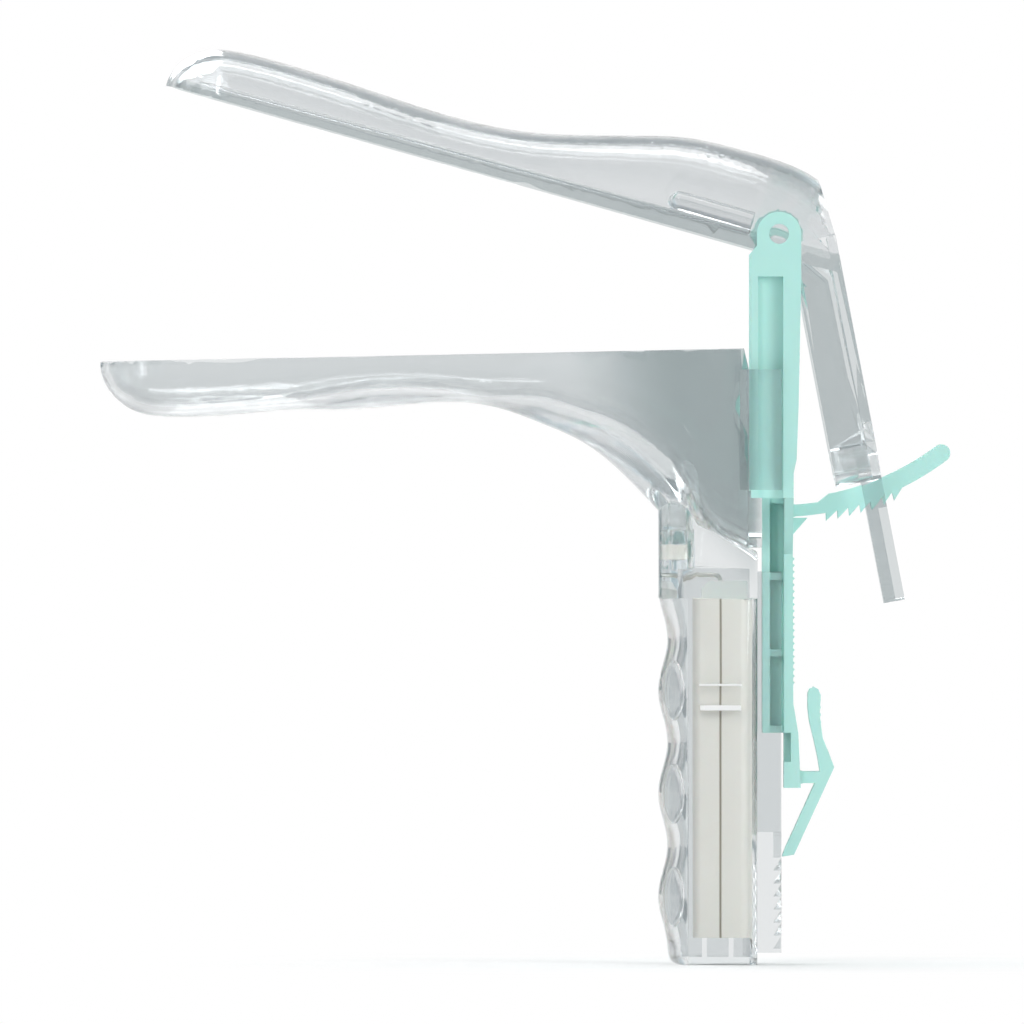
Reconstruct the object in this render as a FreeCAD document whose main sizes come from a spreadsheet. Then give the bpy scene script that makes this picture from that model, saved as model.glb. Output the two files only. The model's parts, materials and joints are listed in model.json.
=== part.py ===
import FreeCAD, Part
import math
import os
import re

import Sketcher

# A disposable two-bladed speculum with its own lamp, modelled open, as it is held in use.
# Millimetres. +Z is up the handle, the blades point towards -X, the thumb lever is on +X,
# and Y runs across. The origin is the middle of the handle's foot.
# The clear lower valve is blade, throat and handle in one. A green yoke slides up the back
# of the handle and carries the clear upper valve on two stub pins. A toothed arm on the yoke
# passes through the upper valve's lever, and a latch at the yoke's foot meets the rack.

Vector = FreeCAD.Vector
Rotation = FreeCAD.Rotation
Y_AXIS = Vector(0, 1, 0)

SIZES = [
    ("wall", 1.7, "wall of the clear mouldings"),
    ("slide_gap", 0.3, "clearance of what slides"),
    ("swing_gap", 0.15, "clearance of what swings between cheeks"),
    ("seat_gap", 0.1, "clearance of pieces that sit in each other"),
    ("pin_gap", 0.05, "radial clearance of the hinges"),
    # lower blade and throat
    ("lower_reach", 124, "tip of the lower blade, ahead of the handle's middle"),
    ("tip_length", 13, "length of a blade's rounded end"),
    ("grip_height", 73.2, "top of the grip cover"),
    ("rim_rise", 49.8, "lower rim at the throat, above the grip cover"),
    ("rim_height", "=grip_height + rim_rise", "height of the lower rim at the throat"),
    ("rim_fall", 2.6, "how much lower the rim is at the tip"),
    ("bowl_half", 14, "half the lower blade's width near its tip"),
    ("bowl_depth", 11.2, "depth of the lower blade near its tip"),
    ("waist_place", 54, "the lower blade's waist, ahead of the handle's middle"),
    ("waist_half", 13.2, "half the lower blade's width at its waist"),
    ("waist_depth", 9.4, "depth of the lower blade at its waist"),
    ("throat_back", 5.6, "back edge of the throat, behind the middle"),
    ("throat_half", 19, "half the throat's width at its back edge"),
    ("keel_drop", 34.4, "fall of the keel from the waist to the throat's back edge"),
    ("floor_drop", 32.4, "fall of the floor from the waist to the throat's back edge"),
    ("corner_fall", 4.2, "height of the cut corner at the rim's back end"),
    # handle
    ("handle_half", 12.2, "half the handle's width"),
    ("handle_back", 7.4, "back face of the handle"),
    ("handle_split", 6.4, "joint plane of handle and grip cover, ahead of the middle"),
    ("handle_round", 3.5, "back corner radius of the handle"),
    ("grip_depth", 5.1, "mean depth of the grip cover"),
    ("ridge_rise", 0.9, "rise of the finger ridges over the mean depth"),
    ("ridge_pitch", 20.6, "distance between finger ridges"),
    ("ridge_first", 13.6, "height of the lowest finger ridge"),
    ("grip_toe", 4, "radius of the grip cover's lower front corner"),
    ("back_rise", 9.3, "top of the crown at its back, above the grip cover"),
    ("bend_rise", 14.6, "bend in the crown's top, above the grip cover"),
    ("front_rise", 24.8, "top of the crown at its front, above the grip cover"),
    ("crown_back", "=grip_height + back_rise", "top of the crown at its back"),
    ("crown_bend", "=grip_height + bend_rise", "height of the bend in the crown's top"),
    ("crown_front", "=grip_height + front_rise", "top of the crown at its front"),
    ("space_half", 10.3, "half the width of the space for the light unit"),
    ("space_back", 6.0, "back of the space for the light unit"),
    ("panel_height", 5.4, "height of the shallow panels on the handle's sides"),
    ("panel_deep", 0.4, "depth of the shallow panels on the handle and the lever"),
    ("space_foot", 1.6, "bottom of the space for the light unit"),
    ("shelf_thick", 1.0, "thickness of the shelves under the light unit"),
    # rails, rack and side guides
    ("rail_outer", 8.6, "outer face of the rails"),
    ("rail_inner", 7.0, "inner face of the rails"),
    ("rail_back", 12.2, "back edge of the rails"),
    ("rail_top", 78.5, "top of the rails"),
    ("lip_inner", 5.2, "inner edge of the rails' lips"),
    ("lip_front", 10.2, "front face of the rails' lips"),
    ("rack_foot", 2.4, "bottom of the rails and the rack"),
    ("rack_root", 10.6, "root of the rack's teeth"),
    ("rack_top", 26.5, "top of the rack's block"),
    ("rack_pitch", 2.6, "pitch of the rack"),
    ("rack_ledge", 21.4, "ledge of the rack's top tooth"),
    ("guide_drop", 4.2, "top of the side guides, below the lower rim"),
    ("guide_length", 24, "length of the side guides"),
    ("guide_top", "=rim_height - guide_drop", "top of the side guides"),
    ("guide_foot", "=guide_top - guide_length", "bottom of the side guides"),
    ("guide_front", 3.8, "front of the side guides"),
    ("guide_thick", 1.8, "wall of the side guides"),
    ("guide_back", 12.1, "back edge of the side guides"),
    ("guide_hook", 1.1, "thickness of the side guides' hooks"),
    # yoke
    ("hinge_rise", 22.8, "hinge axis, above the lower rim"),
    ("hinge_height", "=rim_height + hinge_rise", "hinge axis, above the foot"),
    ("yoke_inner", 18.0, "inner face of the uprights"),
    ("yoke_outer", 22.0, "outer face of the uprights"),
    ("upright_flange", 1.4, "front flange of the uprights"),
    ("recess_depth", 1.9, "depth of the uprights' recess"),
    ("recess_top", 137.3, "top of the uprights' recess"),
    ("plate_front", 12.7, "front face of the yoke's back plate"),
    ("plate_thick", 1.8, "thickness of the yoke's back plate"),
    ("foot_thick", 3.4, "thickness of the yoke's back plate at its foot"),
    ("spine_half", 6.7, "half the spine's width"),
    ("web_half", 3.0, "half the thickness of the spine's web"),
    ("spine_front", 8.4, "front face of the spine"),
    ("spine_foot", 46.3, "bottom of the spine's front flange"),
    ("yoke_foot", 35.3, "bottom of the yoke"),
    ("shoulder_drop", 46.3, "where the uprights run into the wings, below the hinge"),
    ("shoulder", "=hinge_height - shoulder_drop", "where the uprights run into the wings"),
    ("upright_end", 6.3, "how far the uprights run below the shoulder"),
    ("bridge_dip", 6.0, "top of the bridge, below the shoulder"),
    ("wing_drop", 9.0, "where the wings meet the spine, below the bridge's top"),
    ("rib_thick", 1.4, "thickness of the spine's cross ribs"),
    ("foot_slot", 5.8, "length of the slot in the yoke's foot"),
    ("slot_deep", 1.4, "depth of the slot in the yoke's foot"),
    ("gusset_deep", 3.0, "depth of the gusset under the toothed arm"),
    ("serration_foot", 56.0, "lowest of the fine ridges on the spine's back"),
    ("serration_pitch", 1.3, "pitch of the fine ridges on the spine's back"),
    # hinge of the upper valve
    ("hinge_back", 11.6, "hinge axis, behind the handle's middle"),
    ("ear_radius", 4.4, "radius of the uprights' ears"),
    ("hole_radius", 2.0, "radius of the holes in the ears"),
    ("boss_radius", 4.0, "radius of the bosses round the stub pins"),
    ("open_angle", 14.9, "upper blade from the level, in degrees"),
    # upper blade and hood, from the hinge axis, with the blade level
    ("upper_reach", 126, "tip of the upper blade, ahead of the hinge"),
    ("upper_rim", 4.2, "rim below the hinge axis, at the hinge"),
    ("upper_rim_rise", 1.6, "how much higher the rim is at the tip"),
    ("upper_bowl_half", 13.4, "half the upper blade's width near its tip"),
    ("upper_bowl_crown", 7.7, "crown above the hinge axis, near the tip"),
    ("upper_waist_place", 64, "the upper blade's waist, ahead of the hinge"),
    ("upper_waist_half", 12.7, "half the upper blade's width at its waist"),
    ("upper_waist_crown", 6.2, "crown above the hinge axis, at the waist"),
    ("hood_half", 17.5, "half the hood's width"),
    ("hood_rise", 8.4, "rise of the hood over the waist's crown"),
    ("hood_top_back", 4.9, "back edge of the hood behind the hinge, at its crown"),
    ("lever_root_back", 11.3, "back corner of the hood, behind the hinge"),
    ("lever_root_height", 2.0, "back corner of the hood, above the hinge"),
    # thumb lever, down its back face from the hood's back corner
    ("lever_angle", 25.8, "lever from the vertical with the blade level, in degrees"),
    ("lever_length", 73.2, "length of the lever"),
    ("lever_plate", 1.8, "thickness of the lever's back plate"),
    ("flange_thick", 1.6, "thickness of the lever's flanges"),
    ("flange_depth", 9.2, "depth of the lever's side flanges"),
    ("tongue_depth", 4.2, "depth of the tongue's flanges"),
    ("lever_window_half", 13.0, "half the width of the lever's window"),
    ("lever_window_end", 41.0, "bottom of the lever's window"),
    ("tongue_half", 6.0, "half the tongue's width"),
    ("tongue_start", 48.6, "where the shoulders end in the tongue"),
    ("slot_half", 2.0, "half the width of the slot for the toothed arm"),
    ("slot_start", 45.5, "top of the slot for the toothed arm"),
    ("slot_end", 54.3, "bottom of the slot for the toothed arm"),
    # toothed arm, by radius and angle about the hinge, from straight below it
    ("arm_half", 1.5, "half the thickness of the toothed arm"),
    ("arm_inner", 52.7, "inner radius of the arm"),
    ("arm_outer", 56.3, "outer radius of the arm"),
    ("arm_crest", 58.0, "radius of the arm's tooth crests"),
    ("rod_radius", 55.2, "middle radius of the arm's root"),
    ("rod_thick", 2.4, "thickness of the arm's root"),
    ("root_angle", 3.1, "angle of the arm's root"),
    ("root_radius", 1.3, "radius of the arm's rounded root"),
    ("tooth_angle", 9.5, "angle of the arm's first tooth"),
    ("tooth_step", 2.35, "angle between the arm's teeth"),
    ("arm_tip_angle", 38.7, "angle of the arm's tip"),
    # latch
    ("latch_back", 16.0, "axis of the latch, behind the middle"),
    ("latch_height", 37.4, "axis of the latch, above the foot"),
    ("latch_half", 5.0, "half the width of the latch"),
    ("latch_root", 1.3, "radius of the latch's rounded root"),
    ("elbow_reach", 6.8, "elbow of the latch, behind its axis"),
    ("elbow_rise", 2.0, "elbow of the latch, above its axis"),
    ("pad_rise", 18.1, "top of the latch's thumb pad, above its axis"),
    ("pad_thick", 2.5, "thickness of the latch's thumb pad"),
    ("ridge_radius", 0.5, "radius of the grip ridges on the thumb pad"),
    # light unit
    ("case_half", 10.0, "half the width of the battery case"),
    ("case_front", 5.4, "front face of the battery case, ahead of the middle"),
    ("case_back", 5.4, "back face of the battery case, behind the middle"),
    ("case_foot", 5.4, "bottom of the battery case"),
    ("case_gap", 0.2, "top of the battery case, below the top of the grip cover"),
    ("case_top", "=grip_height - case_gap", "top of the battery case"),
    ("case_wall", 1.2, "wall of the battery case"),
    ("case_round", 1.6, "edge radius of the battery case"),
    ("cell_radius", 4.15, "radius of a battery cell"),
    ("cell_length", 41.0, "length of a battery cell's can"),
    ("leaf_thick", 0.5, "thickness of the contact leaves"),
    ("board_thick", 1.0, "thickness of the circuit board"),
    ("cap_height", 3.6, "height of the lead cap"),
    ("lamp_front", 8.2, "axis of the lamp, ahead of the middle"),
    ("lamp_radius", 1.5, "radius of the lamp"),
    ("lamp_rise", 6.8, "bottom of the lamp, above the grip cover"),
    ("lamp_foot", "=grip_height + lamp_rise", "bottom of the lamp"),
    ("lens_radius", 2.9, "radius of the lens over the lamp"),
    ("lens_gap", 2.1, "lens above the lamp"),
    ("lens_length", 13.1, "length of the lens"),
    ("lead_radius", 0.4, "radius of the lamp's leads"),
    ("lead_half", 1.27, "half the distance between the leads"),
]

doc = FreeCAD.newDocument("speculum")
sheet = doc.addObject("Spreadsheet::Sheet", "sizes")
for row, (alias, content, meaning) in enumerate(SIZES, 1):
    sheet.set(f"A{row}", alias)
    sheet.set(f"B{row}", str(content))
    sheet.set(f"C{row}", meaning)
    sheet.setAlias(f"B{row}", alias)
doc.recompute()

ALIASES = {alias for alias, content, meaning in SIZES}
WORD = re.compile(r"[a-z_]{4,}")


def size(alias):
    """A size from the sheet, for shapes made directly."""
    return float(sheet.get(alias))


def bind(text):
    """A size's formula, with its aliases as the document's expressions name them."""
    return WORD.sub(lambda m: "sizes." + m.group() if m.group() in ALIASES else m.group(), text)


# Sketch and feature helpers


def new_sketch(body, name, role, offset):
    sketch = body.newObject("Sketcher::SketchObject", name)
    plane = next(f for f in body.Origin.OriginFeatures if f.Role == role)
    sketch.AttachmentSupport = (plane, [""])
    sketch.MapMode = "FlatFace"
    sketch.setExpression("AttachmentOffset.Base.z", bind(offset))
    return sketch


def hold(sketch, geometry, point, across, up):
    """Ties a point of the sketch to two formulas."""
    for kind, formula in (("DistanceX", across), ("DistanceY", up)):
        constraint = Sketcher.Constraint(kind, -1, 1, geometry, point, 1.0)
        index = sketch.addConstraint(constraint)
        sketch.setExpression(f"Constraints[{index}]", bind(formula))


def outline(body, name, role, loops, offset="0"):
    """A sketch of straight-sided loops, each a list of (across, up) formulas."""
    sketch = new_sketch(body, name, role, offset)
    for corners in loops:
        first = sketch.GeometryCount
        count = len(corners)
        turns = [2 * math.pi * i / count for i in range(count + 1)]
        start = [Vector(math.cos(turn), math.sin(turn), 0) for turn in turns]
        for a, b in zip(start, start[1:]):
            sketch.addGeometry(Part.LineSegment(a, b), False)
        for i in range(count):
            after = first + (i + 1) % count
            sketch.addConstraint(Sketcher.Constraint("Coincident", first + i, 2, after, 1))
        for i, (across, up) in enumerate(corners):
            hold(sketch, first + i, 1, across, up)
    return sketch


def rings(body, name, role, centres, radius, offset="0"):
    """A sketch of equal circles at (across, up) formulas."""
    sketch = new_sketch(body, name, role, offset)
    for i, (across, up) in enumerate(centres):
        start = Part.Circle(Vector(i + 1, i + 1, 0), Vector(0, 0, 1), 0.4)
        sketch.addGeometry(start, False)
        hold(sketch, i, 3, across, up)
        index = sketch.addConstraint(Sketcher.Constraint("Radius", i, 1.0))
        sketch.setExpression(f"Constraints[{index}]", bind(radius))
    return sketch


def solid_from(body, kind, sketch, length, both_ways=False):
    """A Pad or Pocket of a sketch along its normal, or spread about its plane."""
    made = body.newObject(f"PartDesign::{kind}", sketch.Name + "_" + kind.lower())
    made.Profile = sketch
    made.setExpression("Length", bind(length))
    if both_ways:
        made.SideType = "Symmetric"
    else:
        made.Reversed = kind == "Pocket"
    sketch.Visibility = False
    doc.recompute()
    return made


def middle(body, kind, name, corners, half):
    """A side outline padded or pocketed evenly about the middle plane."""
    return solid_from(body, kind, outline(body, name, "XZ_Plane", [corners]), f"2 * ({half})", True)


def cheeks(body, kind, name, corners, near, thick):
    """A side outline on both sides, from near to near + thick off the middle plane."""
    for side, offset in (("left", f"-({near}) - ({thick})"), ("right", near)):
        sketch = outline(body, f"{name}_{side}", "XZ_Plane", [corners], offset)
        solid_from(body, kind, sketch, thick)


def box_corners(x0, x1, z0, z1):
    return [(x0, z0), (x1, z0), (x1, z1), (x0, z1)]


def round_edges(body, radius, chosen):
    """Fillets the edges whose middle point and direction satisfy chosen."""
    picked = []
    for number, edge in enumerate(body.Tip.Shape.Edges, 1):
        along = edge.tangentAt(edge.FirstParameter)
        if len(edge.Vertexes) == 2 and chosen(edge.CenterOfMass, along):
            picked.append(f"Edge{number}")
    made = body.newObject("PartDesign::Fillet", f"{body.Name}_round{len(body.Group)}")
    made.Base = (body.Group[-2], picked)
    made.setExpression("Radius", bind(radius))
    doc.recompute()


def new_body(label, place=None, turn=None):
    """A body, at a place of (x, z) formulas and turned about Y by a formula in degrees."""
    body = doc.addObject("PartDesign::Body", label)
    body.Label = label
    if place:
        body.setExpression("Placement.Base.x", bind(place[0]))
        body.setExpression("Placement.Base.z", bind(place[1]))
    if turn:
        body.Placement.Rotation = Rotation(Y_AXIS, 1)
        body.setExpression("Placement.Rotation.Angle", bind(turn))
    return body


def direct(label, shape):
    """A sub-part whose shape is made directly from the sheet's sizes."""
    part = doc.addObject("Part::Feature", label)
    part.Label = label
    part.Shape = shape
    return part


def combined(kind, label, **links):
    """A Part boolean of other objects."""
    made = doc.addObject(f"Part::{kind}", label)
    made.Label = label
    for name, value in links.items():
        setattr(made, name, value)
    doc.recompute()
    return made


def post(label, radius, foot, height, x="0", y="0"):
    """An upright cylinder with its sizes as formulas."""
    made = doc.addObject("Part::Cylinder", label)
    made.Label = label
    made.setExpression("Radius", bind(radius))
    made.setExpression("Height", bind(height))
    made.setExpression("Placement.Base.x", bind(x))
    made.setExpression("Placement.Base.y", bind(y))
    made.setExpression("Placement.Base.z", bind(foot))
    return made


# Section and loft helpers

FULLNESS = 2.6  # squareness of a blade's section, where 2 is an ellipse
SECTION_STEPS = 12
TIP_TURNS = (6, 18, 32, 48, 67, 90)  # degrees round a blade's rounded end


def arch(half, rise):
    """(across, along) points of a full arch with that half width and rise."""
    points = []
    for i in range(SECTION_STEPS + 1):
        turn = math.pi * i / SECTION_STEPS
        across = math.copysign(abs(math.cos(turn)) ** (2 / FULLNESS), math.cos(turn))
        points.append((half * across, rise * max(0.0, math.sin(turn)) ** (2 / FULLNESS)))
    return points


def arch_wire(points, back):
    """A spline through the points, closed behind its ends by three straight lines."""
    spline = Part.BSplineCurve()
    spline.interpolate(points)
    corners = [points[-1], points[-1] + back, points[0] + back, points[0]]
    edges = [spline.toShape()]
    for a, b in zip(corners, corners[1:]):
        edges.append(Part.LineSegment(a, b).toShape())
    return Part.Wire(edges)


def trough(start, end_length, stations, rim, lift):
    """A loft through (x, half, depth) stations, rounded off ahead of the first one.

    The depth is measured from the rim line, and lift closes the section past the rim.
    """
    first_x, first_half, first_depth = stations[0]
    rounded = []
    for degrees in TIP_TURNS[:-1]:
        turn = math.radians(degrees)
        x = start - end_length * math.cos(turn)
        rounded.append((x, first_half * math.sin(turn), first_depth * math.sin(turn)))
    sections = []
    for x, half, depth in rounded + stations:
        points = [Vector(x, y, rim(x) + z) for y, z in arch(half, depth)]
        sections.append(arch_wire(points, Vector(0, 0, lift)))
    return Part.makeLoft(sections, True, False)


def side_prism(corners, half):
    """A side outline of (x, z) corners, carried across from -half to half."""
    loop = [Vector(x, -half, z) for x, z in corners]
    return Part.Face(Part.makePolygon(loop + loop[:1])).extrude(Vector(0, 2 * half, 0))


# Lower valve: clear blade, throat, crown and handle in one moulding

# shares of the way back from the waist, of the widening, and of the keel's and floor's drop
THROAT_SHARES = [
    (0.15, 0.07, 0.03, 0.03),
    (0.30, 0.21, 0.12, 0.07),
    (0.42, 0.35, 0.21, 0.14),
    (0.55, 0.52, 0.37, 0.24),
    (0.67, 0.69, 0.58, 0.40),
    (0.74, 0.76, 0.71, 0.54),
    (0.82, 0.84, 0.83, 0.77),
    (0.91, 0.91, 0.92, 0.91),
    (1.00, 1.00, 1.00, 1.00),
]
OVERSHOOT = 3.0  # how far a cutting shape runs past what it cuts
RACK_TEETH = 7
SPINE_RIBS = 4
RIDGES = 20
ARM_TEETH = 7
PAD_RIDGES = 6
ARM_ROOT = (
    "hinge_back + rod_radius * sin(root_angle)",
    "hinge_height - rod_radius * cos(root_angle)",
)
BRIDGE_TOP = "(shoulder - bridge_dip)"
WING_FOOT = "(shoulder - bridge_dip - wing_drop)"
LAMP_LENGTH = "3.2 * lamp_radius"
LENS_FOOT = f"(lamp_foot + {LAMP_LENGTH} + lens_gap)"
LENS_SHELF = 0.4


def lower_rim(x):
    run = size("throat_back") + size("lower_reach")
    return size("rim_height") - size("rim_fall") * (size("throat_back") - x) / run


def lower_stations(inset, floor):
    """(x, half, depth below the rim) of the lower valve's outside, or of its inside."""
    waist = -size("waist_place")
    bowl = size("tip_length") - size("lower_reach")
    half = size("waist_half") - inset
    depth = size("waist_depth") - inset
    stations = [
        (bowl, size("bowl_half") - inset, -(size("bowl_depth") - inset)),
        (bowl + 0.2 * (waist - bowl), size("bowl_half") - inset, -(size("bowl_depth") - inset)),
        (0.5 * (bowl + waist), 0.5 * (size("bowl_half") + size("waist_half")) - inset,
         -(0.5 * (size("bowl_depth") + size("waist_depth")) - inset)),
        (waist, half, -depth),
    ]
    level = lower_rim(waist) - depth
    for run, widening, keel, fall in THROAT_SHARES:
        x = waist + run * (size("throat_back") - waist)
        drop = size("floor_drop") * fall if floor else size("keel_drop") * keel
        wide = half + widening * (size("throat_half") - size("waist_half"))
        stations.append((x, wide, level - drop - lower_rim(x)))
    if floor:
        x, wide, below = stations[-1]
        slope = (below - stations[-2][2]) / (x - stations[-2][0])
        stations.append((x + OVERSHOOT, wide, below + OVERSHOOT * slope))
    return stations


def ridge_depth(z):
    """Depth of the grip's front, waved to fit the fingers."""
    wave = math.cos(2 * math.pi * (z - size("ridge_first")) / size("ridge_pitch"))
    return size("grip_depth") + size("ridge_rise") * wave


def throat_outside():
    bowl = size("tip_length") - size("lower_reach")
    return trough(bowl, size("tip_length"), lower_stations(0, False), lower_rim, 0.01)


def throat_inside():
    bowl = size("tip_length") - size("lower_reach")
    reach = size("tip_length") - size("wall")
    return trough(bowl, reach, lower_stations(size("wall"), True), lower_rim, OVERSHOOT)


def crown():
    """The handle's head under the throat, with the grip's rounded front."""
    top_ridge = size("grip_depth") + size("ridge_rise")
    foot = size("grip_height")
    points = [
        Vector(-size("handle_split") - x, y, foot) for y, x in arch(size("handle_half"), top_ridge)
    ]
    depth = size("handle_split") + size("handle_back")
    plan = Part.Face(arch_wire(points, Vector(depth, 0, 0)))
    head = plan.extrude(Vector(0, 0, size("crown_front") - foot))
    front = -size("handle_split") - top_ridge - OVERSHOOT
    profile = [
        (front, foot),
        (size("handle_back"), foot),
        (size("handle_back"), size("crown_back")),
        (-0.55 * size("lamp_front"), size("crown_bend")),
        (-1.35 * size("lamp_front"), size("crown_front")),
        (front, size("crown_front")),
    ]
    return head.common(side_prism(profile, size("handle_half")))


def handle_shell():
    """The handle's box with its rails, rack, shelves and side guides."""
    body = new_body("handle_shell")
    front = "-handle_split"
    plan = [
        (front, "-handle_half"),
        ("handle_back", "-handle_half"),
        ("handle_back", "handle_half"),
        (front, "handle_half"),
    ]
    solid_from(body, "Pad", outline(body, "box", "XY_Plane", [plan]), "grip_height")
    back = size("handle_back") - 0.1
    round_edges(body, "handle_round", lambda at, along: at.x > back and abs(along.z) > 0.9)
    middle(body, "Pocket", "light_space",
           box_corners(front + " - 1", "space_back", "space_foot", "grip_height + 1"), "space_half")
    for number, place in enumerate(("-0.5 * case_front - shelf_thick", "0.3 * case_back"), 1):
        corners = box_corners(place, place + " + shelf_thick", "space_foot", "case_foot")
        middle(body, "Pad", f"shelf{number}", corners, "space_half")
    panel_middle = "0.73 * grip_height"
    panel = box_corners(
        "-0.6 * handle_back", "0.6 * handle_back",
        f"{panel_middle} - panel_height / 2", f"{panel_middle} + panel_height / 2",
    )
    cheeks(body, "Pocket", "panel", panel, "handle_half - panel_deep", "panel_deep + 1")
    rail = box_corners("handle_back - 0.5", "rail_back", "rack_foot", "rail_top")
    cheeks(body, "Pad", "rail", rail, "rail_inner", "rail_outer - rail_inner")
    lip = box_corners("lip_front", "rail_back", "rack_top", "rail_top")
    cheeks(body, "Pad", "lip", lip, "lip_inner", "rail_inner - lip_inner")
    teeth = [("handle_back - 0.5", "rack_foot"), ("rail_back", "rack_foot")]
    for step in range(RACK_TEETH, -1, -1):
        ledge = f"rack_ledge - {step} * rack_pitch"
        teeth += [("rail_back", ledge), ("rack_root", ledge)]
    teeth += [("rack_root", "rack_top"), ("handle_back - 0.5", "rack_top")]
    middle(body, "Pad", "rack", teeth, "rail_inner")
    web = box_corners("guide_front", "guide_front + guide_thick", "guide_foot", "guide_top")
    outer = "yoke_outer + slide_gap"
    root = "throat_half - 0.4 * wall"
    cheeks(body, "Pad", "guide_web", web, root, f"{outer} - ({root})")
    plate = box_corners("guide_front", "guide_back", "guide_foot", "guide_top")
    cheeks(body, "Pad", "guide_plate", plate, outer, "guide_thick")
    near = "yoke_outer - recess_depth + slide_gap"
    hook = box_corners("guide_back - guide_hook", "guide_back", "guide_foot", "guide_top")
    cheeks(body, "Pad", "guide_hook", hook, near, f"{outer} - ({near})")
    return body


def lower_valve():
    outside = direct("throat_outside", throat_outside())
    solid = combined("MultiFuse", "lower_solid", Shapes=[outside, direct("crown", crown()),
                                                         handle_shell()])
    lamp_x = "-lamp_front"
    bore = post("lens_bore", "lens_radius + pin_gap", f"{LENS_FOOT} - {LENS_SHELF}",
                "lens_length", lamp_x)
    pocket = post("lamp_pocket", "lens_radius + slide_gap", "grip_height - 1",
                  f"{LENS_FOOT} - {LENS_SHELF} - grip_height + 1", lamp_x)
    room = doc.addObject("Part::Box", "crown_room")
    for name, formula in (
        ("Length", "lamp_front + case_back - 0.6"),
        ("Width", "1.4 * case_half"),
        ("Height", "cap_height + 3.2"),
        ("Placement.Base.x", "1 - lamp_front"),
        ("Placement.Base.y", "-0.7 * case_half"),
        ("Placement.Base.z", "grip_height - 1"),
    ):
        room.setExpression(name, bind(formula))
    corner = side_prism(
        [
            (size("throat_back") - 1.2, size("rim_height") + 1),
            (size("throat_back"), size("rim_height") - size("corner_fall")),
            (size("throat_back") + 1, size("rim_height") + 1),
        ],
        2 * size("throat_half"),
    )
    cuts = [direct("throat_inside", throat_inside()), bore, pocket, room]
    cuts.append(direct("rim_corner", corner))
    tool = combined("MultiFuse", "lower_cuts", Shapes=cuts)
    return combined("Cut", "lower_valve", Base=solid, Tool=tool)


# Grip cover: the front half of the handle, ridged for the fingers


def grip_section(z, depth, half):
    return [Vector(-size("handle_split") - x, y, z) for y, x in arch(half, depth)]


def grip_cover():
    top = size("grip_height")
    toe = size("grip_toe")
    wall = size("wall")
    step = size("ridge_pitch") / 6
    lowest = size("ridge_first") % step
    steps = [lowest + k * step for k in range(int(top / step) + 1)]
    heights = [0.0, 0.3 * toe, toe] + [z for z in steps if toe < z < top - 0.3 * step] + [top]
    skins = []
    for inset in (0, wall):
        sections = []
        for z in heights:
            turned = min(1.0, max(0.0, 1 - z / toe))
            depth = ridge_depth(z) - toe * (1 - math.sqrt(1 - turned**2)) * 0.6
            points = grip_section(z, depth - inset, size("handle_half") - inset)
            sections.append(arch_wire(points, Vector(max(inset, 0.01), 0, 0)))
        skins.append(Part.makeLoft(sections, True, False))
    span = 4 * size("handle_half")
    split = -size("handle_split")
    foot = Part.makeBox(span, span, wall, Vector(split - span / 2, -span / 2, -1e-3))
    behind = Part.makeBox(span, span, 2 * top, Vector(split, -span / 2, -1))
    return direct("grip_cover", skins[0].cut(skins[1].cut(foot)).cut(behind))


# Yoke: green carrier that slides up the handle's back


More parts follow.
